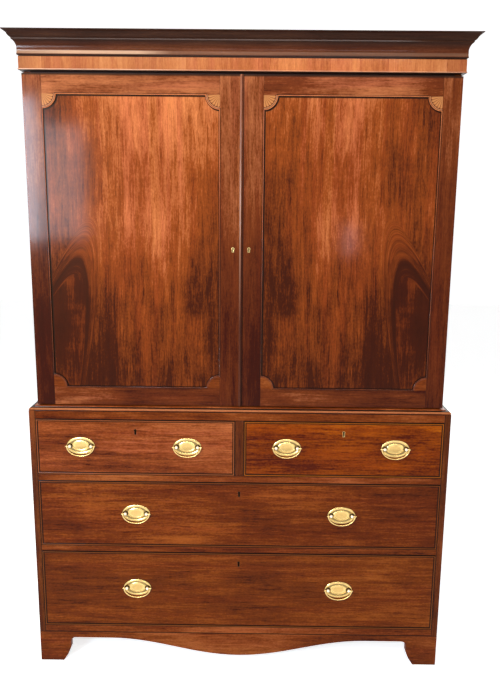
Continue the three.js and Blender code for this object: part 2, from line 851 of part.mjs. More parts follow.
// The bail: a round rod, with a pin at each end that points inwards into its post.
function handleBail() {
  const section = new THREE.Shape();
  section.absarc(0, 0, bailRadius, 0, 2 * Math.PI);
  const rod = new THREE.ExtrudeGeometry(section, {
    steps: bailSteps, curveSegments: bailSides / 2, extrudePath: new BailCurve(), bevelEnabled: false,
  });
  const outer = bailWidth / 2 + bailRadius + bailTipLength;
  const pins = [-1, 1].map((side) => {
    const inner = postSpacing / 2 + bailPinClearance;
    return bar(fromSide, [-pivotHeight, 0], bailPinRadius, side * inner, side * outer, pinSides);
  });
  return joined(rod, ...pins);
}

// Puts the press together, from the floor up.
function build() {
  add("base_front", baseFront(), mahogany);
  for (const [hand, side] of [["left", -1], ["right", 1]]) {
    add("base_side_" + hand, baseSide(side), mahogany);
    add("lower_side_" + hand, lowerSide(side), mahogany);
    add("upper_side_" + hand, upperSide(side), mahogany);
    buildDoor(hand, side);
  }
  add("lower_bottom_board", railAndBoard(baseHeight, bottomRailHeight), mahogany);
  add("lower_dust_board", railAndBoard(lowerRailZ, lowerRailHeight), mahogany);
  add("upper_dust_board", railAndBoard(upperRailZ, upperRailHeight), mahogany);
  add("lower_top_board", railAndBoard(topRailZ, topRailHeight), mahogany);
  add("drawer_divider", drawerDivider(), mahogany);
  add("lower_back", backBoard(lowerInner, baseHeight, lowerTopZ), drawerLining);
  add("waist_moulding", waistMoulding(), mahogany);
  add("upper_bottom_board", upperBoard(lowerTopZ), drawerLining);
  add("upper_top_board", upperBoard(friezeZ - upperBoardThickness), drawerLining);
  add("upper_back", backBoard(upperInner, lowerTopZ, friezeZ), drawerLining);
  trayHeights().forEach((z, i) => add("linen_tray_" + (i + 1), linenTray(z), drawerLining));
  add("frieze", frieze(), crossBanding);
  add("cornice", cornice(), darkMahogany);
  buildDrawers();
}

function buildDoor(hand, side) {
  const door = new THREE.Group();
  door.position.set(side * hingeX, hingeY, doorBottomZ);
  press.add(door);
  add("door_" + hand + "_frame", doorFrame(side), mahogany, door);
  add("door_" + hand + "_panel", doorPanel(side), figuredMahogany, door);
  if (side < 0) add("door_astragal", astragal(side), mahogany, door);
  ["lower", "upper"].forEach((level, i) => {
    const z = hingeHeights()[i];
    const name = "hinge_" + hand + "_" + level;
    add(name + "_fixed_leaf", fixedLeaf(-side), brass).position.set(side * hingeX, hingeY, z);
    add(name + "_moving_leaf", movingLeaf(-side), brass, door).position.set(0, 0, z - doorBottomZ);
  });
}

function buildDrawers() {
  const shortWidth = lowerInner - dividerWidth / 2;
  const shortX = (lowerInner + dividerWidth / 2) / 2;
  buildDrawer("top_left", -shortX, shortOpeningZ, shortWidth, shortOpeningHeight);
  buildDrawer("top_right", shortX, shortOpeningZ, shortWidth, shortOpeningHeight);
  buildDrawer("middle", 0, middleOpeningZ, 2 * lowerInner, middleOpeningHeight);
  buildDrawer("bottom", 0, deepOpeningZ, 2 * lowerInner, deepOpeningHeight);
}

function buildDrawer(place, x, z, width, height) {
  const drawer = new THREE.Group();
  drawer.position.set(x, frontY, z);
  press.add(drawer);
  const [leftShare, rightShare, heightShare] = handleShares[place];
  const handles = [leftShare, rightShare].map((share) => [(share * width) / 2, height * heightShare]);
  add("drawer_" + place + "_front", drawerFront(width, height, handles), mahogany, drawer);
  add("drawer_" + place + "_box", drawerBox(width, height), drawerLining, drawer);
  ["left", "right"].forEach((hand, i) => {
    const handle = new THREE.Group();
    handle.position.set(handles[i][0], 0, handles[i][1]);
    drawer.add(handle);
    add("handle_" + place + "_" + hand + "_plate", handlePlate(), brass, handle);
    add("handle_" + place + "_" + hand + "_bail", handleBail(), brass, handle);
  });
}

build();

export default press;
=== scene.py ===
# %% [markdown]
# This lesson dresses a mahogany linen press: a cupboard with two panelled doors, standing on a chest of
# drawers. The solids come from the part's CAD model, in metres, with the floor at z = 0 and the doors
# facing -Y. Here they get polished wood and brass, and the small pieces that catch the eye.

import math

import bpy
from mathutils import Matrix, Vector


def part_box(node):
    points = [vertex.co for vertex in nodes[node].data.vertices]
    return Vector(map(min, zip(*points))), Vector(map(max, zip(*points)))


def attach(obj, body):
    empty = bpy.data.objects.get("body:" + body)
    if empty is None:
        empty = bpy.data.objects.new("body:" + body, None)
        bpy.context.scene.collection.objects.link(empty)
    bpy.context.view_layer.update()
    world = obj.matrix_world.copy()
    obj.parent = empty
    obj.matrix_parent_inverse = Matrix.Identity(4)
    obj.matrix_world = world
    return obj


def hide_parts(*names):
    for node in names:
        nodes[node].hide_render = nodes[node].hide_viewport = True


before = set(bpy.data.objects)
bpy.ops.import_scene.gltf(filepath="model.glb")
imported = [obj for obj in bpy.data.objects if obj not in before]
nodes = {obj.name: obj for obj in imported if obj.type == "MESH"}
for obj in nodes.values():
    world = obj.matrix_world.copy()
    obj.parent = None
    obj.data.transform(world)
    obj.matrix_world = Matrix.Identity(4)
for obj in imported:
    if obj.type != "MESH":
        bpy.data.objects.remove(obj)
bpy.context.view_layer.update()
MM = 0.001
HANDS = ("left", "right")
print("CAD pieces:", len(nodes))

# %% [markdown]
# The photograph was taken by someone who stood a little right of the middle and held the camera at chest
# height, tipped down. The camera stands at that spot. Its three axes are worked out from the tip, the
# turn and the tilt, and written as the columns of its matrix, which avoids rounding in Euler angles.

# %% Camera
CAMERA_PLACE = Vector((0.0441, -2.374, 1.4934))
CAMERA_LENS = 36.52
TIP_DOWN = math.radians(10.99)
TURN = math.radians(0.37)
TILT = math.radians(-0.54)


def camera_matrix():
    turned = Matrix.Rotation(TURN, 3, "Z")
    tipped = Matrix.Rotation(-TIP_DOWN, 3, "X")
    tilted = Matrix.Rotation(TILT, 3, "Y")
    right, ahead, up = (turned @ tipped @ tilted).col
    placed = Matrix((right, up, -ahead)).transposed().to_4x4()
    placed.translation = CAMERA_PLACE
    return placed


camera = bpy.data.objects.new("camera", bpy.data.cameras.new("camera"))
bpy.context.scene.collection.objects.link(camera)
camera.data.lens = CAMERA_LENS
camera.matrix_world = camera_matrix()
bpy.context.scene.camera = camera
print("camera at", [round(v, 3) for v in camera.matrix_world.translation])

# %% [markdown]
# Operators work on whatever is selected, and loading leaves every CAD piece selected. So each step starts
# from nothing selected. These few helpers keep the modelling cells short.

# %% Modelling helpers
TOUCHING = 1e-6


def deselect():
    bpy.ops.object.select_all(action="DESELECT")


def activate(piece):
    deselect()
    piece.select_set(True)
    bpy.context.view_layer.objects.active = piece


def edit(piece):
    activate(piece)
    bpy.ops.object.mode_set(mode="EDIT")


def leave():
    bpy.ops.object.mode_set(mode="OBJECT")


def select_mesh():
    bpy.ops.mesh.select_all(action="SELECT")


def close_seams():
    bpy.ops.mesh.remove_doubles(threshold=TOUCHING)


def extrude(step):
    bpy.ops.mesh.extrude_region_move(TRANSFORM_OT_translate={"value": step})


def primitive(name, add, **settings):
    deselect()
    add(**settings)
    piece = bpy.context.object
    piece.name = name
    return piece


def draw(name, points):
    """Draws a line from point to point, and leaves it in edit mode, all selected."""
    piece = primitive(name, bpy.ops.mesh.primitive_plane_add, size=MM)
    edit(piece)
    bpy.ops.mesh.merge(type="CENTER")
    bpy.ops.transform.translate(value=points[0])
    for start, end in zip(points, points[1:]):
        extrude(Vector(end) - Vector(start))
    select_mesh()
    return piece


def close_outline():
    """Joins a drawn line's last point to its first and fills it with one face."""
    close_seams()
    bpy.ops.mesh.edge_face_add()


def modify(piece, kind, **settings):
    """Adds a modifier and applies it."""
    activate(piece)
    modifier = piece.modifiers.new(kind.lower(), kind)
    for key, value in settings.items():
        setattr(modifier, key, value)
    bpy.ops.object.modifier_apply(modifier=modifier.name)


def settle(piece, angle=35):
    """Puts the piece's place into its mesh and shades it smooth, apart from its sharp edges."""
    activate(piece)
    bpy.ops.object.transform_apply(location=True, rotation=True, scale=True)
    bpy.ops.object.shade_smooth_by_angle(angle=math.radians(angle))


def tidy():
    """Closes seams and poles and turns all faces outwards, in edit mode."""
    select_mesh()
    close_seams()
    bpy.ops.mesh.normals_make_consistent(inside=False)


def complete(piece, angle=35, rounding=0.0):
    """Ends the editing of a piece: tidied, its edges rounded if asked for, and settled."""
    tidy()
    leave()
    if rounding:
        modify(piece, "BEVEL", width=rounding, segments=2, limit_method="ANGLE")
    settle(piece, angle)
    return piece


def join(name, pieces):
    deselect()
    for piece in pieces:
        piece.select_set(True)
    bpy.context.view_layer.objects.active = pieces[0]
    bpy.ops.object.join()
    pieces[0].name = name
    return pieces[0]


def copy_at(piece, name, offset):
    """A copy with its own mesh, moved by offset."""
    copied = piece.copy()
    copied.data = piece.data.copy()
    copied.name = name
    bpy.context.scene.collection.objects.link(copied)
    copied.data.transform(Matrix.Translation(offset))
    return copied


def unfold(piece, name, measure):
    """A UV map of the two numbers that measure gives for each point, which goes along with every copy."""
    layer = piece.data.uv_layers.new(name=name)
    for loop in piece.data.loops:
        layer.data[loop.index].uv = measure(piece.data.vertices[loop.vertex_index].co)


def belong(piece, body, slot, material, *replaced):
    """Gives the piece its material, hides the nodes it stands for and gives it its body. The slot is not
    used.
    """
    piece.data.materials.clear()
    piece.data.materials.append(material)
    if replaced:
        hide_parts(*replaced)
    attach(piece, body)


print("helpers ready")

# %% [markdown]
# A socket knows the tree that it lies in, so the helpers for sums find the tree by themselves, and a sum
# of sockets reads almost like one of numbers.

# %% Node helpers
def add_node(tree, kind, inputs=None, **settings):
    made = tree.nodes.new(kind)
    for key, value in settings.items():
        setattr(made, key, value)
    for key, value in (inputs or {}).items():
        if isinstance(value, bpy.types.NodeSocket):
            tree.links.new(value, made.inputs[key])
        else:
            made.inputs[key].default_value = value
    return made


def tree_of(*values):
    return next(value.id_data for value in values if isinstance(value, bpy.types.NodeSocket))


def maths(operation, a, b=0.0):
    return add_node(tree_of(a, b), "ShaderNodeMath", {0: a, 1: b}, operation=operation).outputs[0]


def plus(a, b):
    return maths("ADD", a, b)


def minus(a, b):
    return maths("SUBTRACT", a, b)


def times(a, b):
    return maths("MULTIPLY", a, b)


def larger(a, b):
    return maths("MAXIMUM", a, b)


def apart(a, b):
    """How far two values lie from each other."""
    return maths("ABSOLUTE", minus(a, b))


def total(first, *rest):
    for value in rest:
        first = plus(first, value)
    return first


def swing(value, strength):
    """How far a 0 to 1 value lies from its middle, times a strength."""
    return times(minus(value, 0.5), strength)


def vector_maths(operation, a, b):
    return add_node(tree_of(a, b), "ShaderNodeVectorMath", {0: a, 1: b}, operation=operation).outputs[0]


def spread(value, low, high, to_low=0.0, to_high=1.0):
    """Stretches low to high over to_low to to_high, and stops there."""
    inputs = {"Value": value, "From Min": low, "From Max": high, "To Min": to_low, "To Max": to_high}
    return add_node(tree_of(value), "ShaderNodeMapRange", inputs).outputs[0]


def noise(place, scale, detail=2.0, rough=0.5):
    """Noise stretched by a scale for each axis, as a number from 0 to 1."""
    stretched = vector_maths("MULTIPLY", place, scale)
    inputs = {"Vector": stretched, "Scale": 1.0, "Detail": detail, "Roughness": rough}
    return add_node(tree_of(place), "ShaderNodeTexNoise", inputs).outputs["Fac"]


def number_noise(number):
    """An arbitrary value from 0 to 1 for each whole number."""
    made = add_node(tree_of(number), "ShaderNodeTexWhiteNoise", {"W": number}, noise_dimensions="1D")
    return made.outputs["Value"]


def mix_colours(factor, a, b, blend="MIX"):
    made = add_node(
        tree_of(factor, a, b), "ShaderNodeMix", {0: factor, 6: a, 7: b},
        data_type="RGBA", blend_type=blend, clamp_factor=True,
    )
    return made.outputs[2]


def choose(factor, a, b):
    return add_node(tree_of(factor), "ShaderNodeMix", {0: factor, 2: a, 3: b}).outputs[0]


def choose_place(factor, a, b):
    return add_node(tree_of(factor), "ShaderNodeMix", {0: factor, 4: a, 5: b}, data_type="VECTOR").outputs[1]


def split(place):
    return add_node(tree_of(place), "ShaderNodeSeparateXYZ", {0: place}).outputs


def vector_of(x, y, z):
    return add_node(tree_of(x, y, z), "ShaderNodeCombineXYZ", {0: x, 1: y, 2: z}).outputs[0]


def ramp_of(value, stops):
    """A grey ramp of (place, value) stops."""
    ramp = add_node(tree_of(value), "ShaderNodeValToRGB", {0: value})
    while len(ramp.color_ramp.elements) < len(stops):
        ramp.color_ramp.elements.new(0.5)
    for element, (place, level) in zip(ramp.color_ramp.elements, stops):
        element.position = place
        element.color = (level, level, level, 1)
    return ramp.outputs[0]


def band(value, low, high, soft=0.4 * MM):
    """1 between two values, with soft ends."""
    return times(spread(value, low - soft, low + soft), spread(value, high - soft, high + soft, 1, 0))


def feed(node, label, value):
    node.id_data.links.new(value, node.inputs[label])


def fed(node, label):
    """What feeds a socket so far."""
    return node.inputs[label].links[0].from_socket


def paint(shader, colour):
    feed(shader, "Base Color", colour)


def mix_shaders(factor, a, b):
    inputs = {0: factor, 1: a.outputs[0], 2: b.outputs[0]}
    return add_node(tree_of(factor), "ShaderNodeMixShader", inputs)


def show(material, shader):
    """Makes a shader the one that the material shows."""
    feed(material.node_tree.nodes["Material Output"], "Surface", shader.outputs[0])


print("node helpers ready")

# %% [markdown]
# Mahogany is built from layers that nearly all run along the grain: broad stripes, streaks, lines, fine
# fibres, short flecks and pores. Blotches and patches change the tone slowly, and a ripple crosses it. One
# node group holds them, and each board feeds it its own coordinates, so no two boards show the same patch.
# The group reads x and y as across the grain and z as along it.

# %% The wood group
def open_group(name, inputs, outputs):
    group = bpy.data.node_groups.new(name, "ShaderNodeTree")
    for way, sockets in (("INPUT", inputs), ("OUTPUT", outputs)):
        for label, kind in sockets:
            group.interface.new_socket(label, in_out=way, socket_type="NodeSocket" + kind)
    return group, group.nodes.new("NodeGroupInput").outputs, group.nodes.new("NodeGroupOutput")


def make_wood_group():
    inputs = [("Grain", "Vector"), ("Dark", "Color"), ("Middle", "Color"), ("Light", "Color")]
    inputs += [(label, "Float") for label in ("Streaks", "Blotches", "Ripple", "Bias")]
    outputs = [("Colour", "Color"), ("Roughness", "Float"), ("Height", "Float")]
    group, given, made = open_group("wood", inputs, outputs)
    grain = given["Grain"]
    slow = vector_maths("MULTIPLY", grain, (3, 3, 0.9))
    drift = add_node(group, "ShaderNodeTexNoise", {"Vector": slow, "Scale": 1.0}).outputs["Color"]
    centred = vector_maths("SUBTRACT", drift, (0.5, 0.5, 0.5))
    bent = vector_maths("ADD", grain, vector_maths("MULTIPLY", centred, (0.022, 0.022, 0)))
    lines = noise(bent, (210, 210, 11), 4, 0.65)
    fibres = noise(bent, (650, 650, 44), 2)
    pores = spread(noise(bent, (1700, 1700, 60), 1), 0.62, 0.72)
    layers = [
        (swing(noise(bent, (58, 58, 4.2), 3, 0.55), 1), 0.95),
        (swing(lines, 1), 1.05),
        (swing(fibres, 1), 0.5),
        (spread(noise(bent, (150, 150, 17), 3, 0.55), 0.57, 0.74), -0.3),
        (swing(noise(bent, (240, 240, 130), 3, 0.6), 1), 0.7),
    ]
    tone = total(
        given["Bias"], *[times(layer, times(given["Streaks"], share)) for layer, share in layers],
        times(swing(noise(grain, (3.4, 3.4, 1.7), 2), 2.0), given["Blotches"]),
        times(swing(noise(bent, (15, 15, 5), 3, 0.55), 1.5), given["Blotches"]),
        times(swing(noise(bent, (9, 9, 34), 2), 1), given["Ripple"]),
    )
    lower = mix_colours(spread(tone, 0, 0.5), given["Dark"], given["Middle"])
    colour = mix_colours(spread(tone, 0.5, 1), lower, given["Light"])
    colour = mix_colours(spread(tone, -0.5, 0.08, 0.75, 0.0), colour, (0.3, 0.25, 0.3, 1), "MULTIPLY")
    stripes = spread(noise(bent, (34, 34, 1.6), 3), 0.46, 0.64, 0.0, 0.75)
    colour = mix_colours(stripes, colour, (0.88, 0.72, 0.85, 1), "MULTIPLY")
    feed(made, "Colour", mix_colours(times(pores, 0.45), colour, given["Dark"]))
    feed(made, "Roughness", plus(times(pores, 0.12), swing(lines, 0.1)))
    feed(made, "Height", minus(times(fibres, 0.3), pores))
    return group


wood_group = make_wood_group()
print("wood group nodes:", len(wood_group.nodes))

# %% [markdown]
# Each material starts the same way: a Principled shader whose fixed numbers are typed on its own sockets.
# French polish is a thin clear film, so the wood gets a little coat over a soft sheen.

# %% A blank material, and wood laid on it
GRAIN_DEPTH = 0.12 * MM


def blank_material(name, **sockets):
    made = bpy.data.materials.new(name)
    made.use_nodes = True
    made.node_tree.nodes.clear()
    shader = add_node(made.node_tree, "ShaderNodeBsdfPrincipled", sockets)
    add_node(made.node_tree, "ShaderNodeOutputMaterial", {"Surface": shader.outputs[0]})
    return made, shader


def object_place(node):
    return add_node(node.id_data, "ShaderNodeTexCoord").outputs["Object"]


def placed_material(name, **sockets):
    """A blank material, its shader, and where each point of the piece lies."""
    made, shader = blank_material(name, **sockets)
    return made, shader, object_place(shader)


def bump(shader, height, distance, strength):
    inputs = {"Height": height, "Distance": distance, "Strength": strength}
    feed(shader, "Normal", add_node(shader.id_data, "ShaderNodeBump", inputs).outputs[0])


def along(place, axis, seed):
    """Coordinates whose z runs along the given axis, shifted so that each seed shows another patch."""
    x, y, z = split(place)
    ordered = {"X": (z, y, x), "Y": (x, z, y), "Z": (x, y, z)}[axis]
    return vector_of(*[plus(part, seed * step) for part, step in zip(ordered, (1.37, 0.71, 2.3))])


def lay_wood(shader, grain, tones, streaks, blotches, ripple, bias, rough):
    """Runs the wood group on the grain coordinates, joins it to the shader and gives back its colour."""
    inputs = {"Grain": grain, "Streaks": streaks, "Blotches": blotches, "Ripple": ripple, "Bias": bias}
    for label, tone in zip(("Dark", "Middle", "Light"), tones):
        inputs[label] = (*tone, 1)
    figure = add_node(shader.id_data, "ShaderNodeGroup", inputs, node_tree=wood_group).outputs
    paint(shader, figure["Colour"])
    feed(shader, "Roughness", plus(figure["Roughness"], rough))
    bump(shader, figure["Height"], GRAIN_DEPTH, 0.5)
    return figure["Colour"]


POLISH = {
    "Specular IOR Level": 0.08, "Specular Tint": (1.0, 0.5, 0.22, 1),
    "Coat Weight": 0.16, "Coat Roughness": 0.1,
}
WAXED = {**POLISH, "Specular IOR Level": 0.06, "Coat Weight": 0.12}
PLAIN = {"Specular IOR Level": 0.3, "Coat Weight": 0.0}
MAHOGANY = [(0.05, 0.005, 0.0006), (0.17, 0.031, 0.003), (0.36, 0.095, 0.02)]
BRIGHT = [(0.045, 0.005, 0.0004), (0.24, 0.044, 0.005), (0.6, 0.175, 0.05)]
DEEP = [(0.035, 0.005, 0.001), (0.11, 0.022, 0.003), (0.23, 0.06, 0.012)]
FRAME = [(0.035, 0.002, 0.0002), (0.14, 0.025, 0.004), (0.42, 0.125, 0.04)]
DARK = [(0.012, 0.004, 0.002), (0.032, 0.01, 0.005), (0.06, 0.021, 0.009)]
COVE = [(0.03, 0.005, 0.002), (0.085, 0.018, 0.005), (0.16, 0.045, 0.017)]
BANDING = [(0.3, 0.065, 0.014), (0.53, 0.16, 0.045), (0.7, 0.27, 0.09)]
LINING = [(0.25, 0.135, 0.055), (0.42, 0.25, 0.11), (0.55, 0.36, 0.18)]
# The near-black that most materials mix in as painted shade, and that the back boards use for the seams
# between them.
SHADE_AND_SEAM_DARK = (0.012, 0.004, 0.002, 1)
print("tones ready")

# %% [markdown]
# Boards are cut along the grain, so rails and drawer fronts have it lying and sides have it upright. A
# sharp CAD edge catches no light, so every board gets a small bevel: the loose triangles are welded by a
# modifier first, and the bevel then finds the true edges. Both stay modifiers, and the mesh is untouched.
# An upright board gets a line of painted shade beside the drawers but none along its outer edge, so the
# line is told that this edge lies a metre away.

# %% Dress the carcass
AWAY = 1.0


def dress(name, material):
    for slot in nodes[name].material_slots:
        slot.material = material


def finish_board(name, material, width=0.8 * MM):
    dress(name, material)
    weld = nodes[name].modifiers.new("weld", "WELD")
    weld.merge_threshold = 1e-5
    bevel = nodes[name].modifiers.new("bevel", "BEVEL")
    bevel.width = width
    bevel.segments = 2
    bevel.limit_method = "ANGLE"
    bevel.angle_limit = math.radians(35)


def edged_wood(name, axis, seed, tones, part, low, high):
    """Wood with painted shade: a dark line along its front edges, beside the drawers."""
    made, shader, place = placed_material("mahogany " + name, **WAXED)
    colour = lay_wood(shader, along(place, axis, seed), tones, 0.9, 0.7, 0.12, 0.5, 0.42)
    sides = split(place)
    nearest = maths("MINIMUM", minus(sides[part], low), minus(high, sides[part]))
    behind = minus(sides[1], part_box(name)[0].y + 1.5 * MM)
    # Painted shade: a dark line along the front edges, beside the drawers.
    line = spread(larger(nearest, behind), 1.2 * MM, 2.4 * MM, 0.85, 0.0)
    paint(shader, mix_colours(line, colour, SHADE_AND_SEAM_DARK))
    return made


LYING = ["base_front", "lower_bottom_board", "lower_dust_board", "upper_dust_board", "lower_top_board"]
UPRIGHT = ["lower_side_left", "lower_side_right", "upper_side_left", "upper_side_right", "drawer_divider"]
for seed, name in enumerate(LYING):
    low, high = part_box(name)
    finish_board(name, edged_wood(name, "X", 3 + seed, MAHOGANY, 2, low.z, high.z))
for seed, name in enumerate(UPRIGHT):
    low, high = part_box(name)
    if name.endswith("right"):
        high.x = low.x + AWAY
    elif name.endswith("left"):
        low.x = high.x - AWAY
    finish_board(name, edged_wood(name, "Z", 11 + seed, DEEP, 0, low.x, high.x))
for seed, name in enumerate(["base_side_left", "base_side_right"]):
    made, shader, place = placed_material("mahogany " + name, **WAXED)
    lay_wood(shader, along(place, "Y", 21 + seed), DEEP, 1.0, 0.6, 0.12, 0.5, 0.42)
    finish_board(name, made)
print("carcass boards:", len(LYING) + len(UPRIGHT) + 2)

# %% [markdown]
# What isn't seen is plain wood: the backs, the trays and the insides of the drawers. It was planed and
# never polished, so it is paler, rougher and has no coat. The backs are upright boards with seams between
# them. The top and bottom boards behind the doors get painted shade along their front edges, a dark strip
# where the gap round the doors shows them.

# %% Dress the linings
BACK_BOARD = 0.206
# How deep the painted shade along the front edges of the boards behind the doors reaches.
EDGE_SHADE_DEPTH = 12 * MM


def lay_lining(shader, grain, bias=0.5):
    return lay_wood(shader, grain, LINING, 0.7, 0.5, 0.0, bias, 0.6)


def lining(name, axis, seed):
    made, shader, place = placed_material("lining " + name, **{**POLISH, **PLAIN})
    lay_lining(shader, along(place, axis, seed))
    return made


def boarded_lining(name, seed):
    """Upright boards side by side, each of its own tone, with a dark seam between them."""
    made, shader, place = placed_material("lining " + name, **PLAIN)
    x, y, z = split(place)
    counted = maths("DIVIDE", x, BACK_BOARD)
    own = number_noise(maths("FLOOR", counted))
    grain = vector_of(plus(x, times(own, 5)), y, plus(z, seed))
    colour = lay_lining(shader, grain, plus(swing(own, 0.35), 0.5))
    off_middle = apart(maths("FRACT", counted), 0.5)
    seam = spread(off_middle, 0.5 - 2.4 * MM / BACK_BOARD, 0.5 - 1.2 * MM / BACK_BOARD, 0.0, 0.85)
    paint(shader, mix_colours(seam, colour, SHADE_AND_SEAM_DARK))
    return made


def edge_shaded_lining(name, seed):
    """Pale wood with painted shade: a dark strip along its front edge, which is all of it that shows round
    the doors.
    """
    made, shader, place = placed_material("lining " + name, **PLAIN)
    colour = lay_lining(shader, along(place, "X", seed))
    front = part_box(name)[0].y + EDGE_SHADE_DEPTH
    # Painted shade: the front edge is dark where the gap round the doors shows it.
    strip = spread(split(place)[1], front, front + 0.3 * MM, 1.0, 0.0)
    paint(shader, mix_colours(strip, colour, (0.03, 0.008, 0.003, 1)))
    return made


DRAWERS = ["top_left", "top_right", "middle", "bottom"]
for seed, name in enumerate(["lower_back", "upper_back"]):
    finish_board(name, boarded_lining(name, 31 + seed))
for seed, name in enumerate(["upper_bottom_board", "upper_top_board"]):
    finish_board(name, edge_shaded_lining(name, 35 + seed))
for number in range(1, 5):
    finish_board(f"linen_tray_{number}", lining(f"linen_tray_{number}", "X", 38 + number))
for seed, place in enumerate(DRAWERS):
    finish_board(f"drawer_{place}_box", lining(f"drawer_{place}_box", "Y", 45 + seed))
print("linings dressed")

# %% [markdown]
# A cock bead frames each drawer front: a thin strip with a rounded edge. The material paints shade as a
# dark line on both sides of it and inside the keyhole, and paints the bead a little lighter than the board
# as a painted highlight. It finds the bead from how near a point lies to the front's own edge. Each front
# has a seed, three tones, how light it is below and at its top, where light from above is painted on, and
# what is added to that at its left and right ends.

# %% Dress the drawer fronts
FRONTS = {
    "top_left": (
        51.3, [(0.055, 0.006, 0.0006), (0.2, 0.038, 0.006), (0.44, 0.115, 0.03)], (0.43, 0.53), (0, 0)),
    "top_right": (
        57.9, [(0.08, 0.007, 0.0003), (0.28, 0.05, 0.0005), (0.5, 0.13, 0.004)], (0.27, 0.5), (0.08, -0.1)),
    "middle": (
        62.2, [(0.035, 0.003, 0.0002), (0.125, 0.019, 0.001), (0.3, 0.068, 0.008)], (0.5, 0.5), (0, 0)),
    "bottom": (
        69.4, [(0.05, 0.006, 0.0005), (0.155, 0.028, 0.002), (0.32, 0.08, 0.01)], (0.48, 0.48), (0, 0)),
}
BEAD_WIDTH = 3.4 * MM
KEYHOLE_DROP = 33 * MM
KEYHOLE_REACH = 20 * MM
FACE_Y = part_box("drawer_top_left_front")[1].y - 22 * MM
FRAME_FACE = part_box("door_left_frame")[0].y


def edge_distance(place, low, high):
    """How far a point lies inside the nearest edge of the box, seen from the front."""
    x, _, z = split(place)
    from_sides = minus((high.x - low.x) / 2, apart(x, (low.x + high.x) / 2))
    from_ends = minus((high.z - low.z) / 2, apart(z, (low.z + high.z) / 2))
    return maths("MINIMUM", from_sides, from_ends)


def painted_keyhole_shade(place, centre_x, centre_z, face):
    """1 behind the face and near the middle of a keyhole, where the inside of the keyhole is painted as
    shade.
    """
    x, y, z = split(place)
    near = maths("LESS_THAN", larger(apart(x, centre_x), apart(z, centre_z)), KEYHOLE_REACH)
    return times(near, spread(minus(y, face), 0.6 * MM, 2.5 * MM))


def front_wood(name, seed, tones, rise, aside, low, high):
    made, shader, place = placed_material(name, **WAXED)
    x, _, z = split(place)
    # The top of the front is painted lighter: painted light from above.
    bias = plus(spread(z, high.z - 50 * MM, high.z - 18 * MM, *rise), spread(x, low.x, high.x, *aside))
    colour = lay_wood(shader, along(place, "X", seed), tones, 0.9, 0.5, 0.2, bias, 0.42)
    inside = edge_distance(place, low, high)
    # The bead strip is painted lighter: a painted highlight.
    strip = spread(inside, BEAD_WIDTH, BEAD_WIDTH + 0.2 * MM, 0.75, 0.0)
    painted_highlight = [min(1.0, 1.25 * part) for part in tones[2]]
    colour = mix_colours(strip, colour, (*painted_highlight, 1))
    # Painted shade: dark lines at the gap round the front and just inside the bead, and inside the keyhole.
    gap_shade = spread(inside, 1.3 * MM, 1.9 * MM, 1.0, 0.0)
    groove = spread(apart(inside, BEAD_WIDTH + 1.5 * MM), 1.4 * MM, 2.6 * MM, 0.95, 0.0)
    keyhole_shade = painted_keyhole_shade(place, (low.x + high.x) / 2, high.z - KEYHOLE_DROP, FACE_Y)
    paint(shader, mix_colours(larger(larger(gap_shade, groove), keyhole_shade), colour, SHADE_AND_SEAM_DARK))
    return made


for place, choices in FRONTS.items():
    name = f"drawer_{place}_front"
    finish_board(name, front_wood("mahogany " + name, *choices, *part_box(name)), 0.9 * MM)
print("drawer fronts:", len(FRONTS))

# %% [markdown]
# The panel shows through an opening in its frame, whose corners are quarter circles cut into it. Several
# pieces and materials need that opening, so it is worked out once.

# %% The shaped opening
PANEL_HOLD = 8.7 * MM
CORNER_RADIUS = 39.5 * MM


def opening(hand):
    low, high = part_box(f"door_{hand}_panel")
    return low.x + PANEL_HOLD, low.z + PANEL_HOLD, high.x - PANEL_HOLD, high.z - PANEL_HOLD


def opening_distance(place, hand):
    """How far a point lies outside the opening's edge, seen from the front. It is negative inside."""
    x0, z0, x1, z1 = opening(hand)
    x, _, z = split(place)
    aside = minus(apart(x, (x0 + x1) / 2), (x1 - x0) / 2)
    above = minus(apart(z, (z0 + z1) / 2), (z1 - z0) / 2)
    squares = plus(times(aside, aside), times(above, above))
    in_corner = minus(CORNER_RADIUS, maths("SQRT", squares))
    return larger(larger(aside, above), in_corner)


print("left opening:", [round(v, 4) for v in opening("left")])

# %% [markdown]
# The two door panels were sawn from one log and opened like a book, so their figure is mirrored about the
# meeting line. The pattern therefore reads the distance from the middle, whichever side it is on. Beside
# each outer edge the grain sweeps round the scar of a branch, as nested arches. Each leaf has a ramp of its
# own across it, and both share one up them; these hold painted light as well as the figure's tone, so the
# right leaf is painted darker than the left, and both darker towards the foot. Painted shade lies as a dark
# line just inside the bead, and the bead's painted shadow falls down and to the right of it.

# %% Figured panels
SCAR_OUT = 0.45
SCAR_TOP = 1.465
SCAR_LEAN = 0.3
SCAR_ROUND = 34
SCAR_RIM = 0.17
SCAR_PUSH = 2.2
BEAD_SHADOW = 2.6 * MM
# Ramps across each leaf and up both, which hold painted light as well as the figure's tone: the right leaf is
# painted darker, and both darker towards the foot.
PANEL_STOPS = (0.0, 0.25, 0.41, 0.56, 0.72, 0.86, 1.0)
PANEL_SIDES = {
    "left": [0.62, 0.92, 1.0, 0.93, 0.66, 0.3, 0.1], "right": [0.42, 0.52, 0.87, 0.84, 0.5, 0.32, 0.22],
}
PANEL_RISE = [
    (0.0, 0.2), (0.19, 0.14), (0.29, 0.16), (0.38, 0.3), (0.48, 0.5), (0.575, 0.62), (0.77, 0.66),
    (0.86, 0.82), (1.0, 0.93),
]


def under_arch(out, z):
    """How far a point lies below an arch that opens downwards, 0 above it and at most the rim's height."""
    depth = minus(SCAR_TOP, z)
    aside = minus(out, plus(times(larger(depth, 0), SCAR_LEAN), SCAR_OUT))
    drop = times(times(aside, aside), SCAR_ROUND)
    return spread(minus(depth, drop), 0, SCAR_RIM, 0, SCAR_RIM)


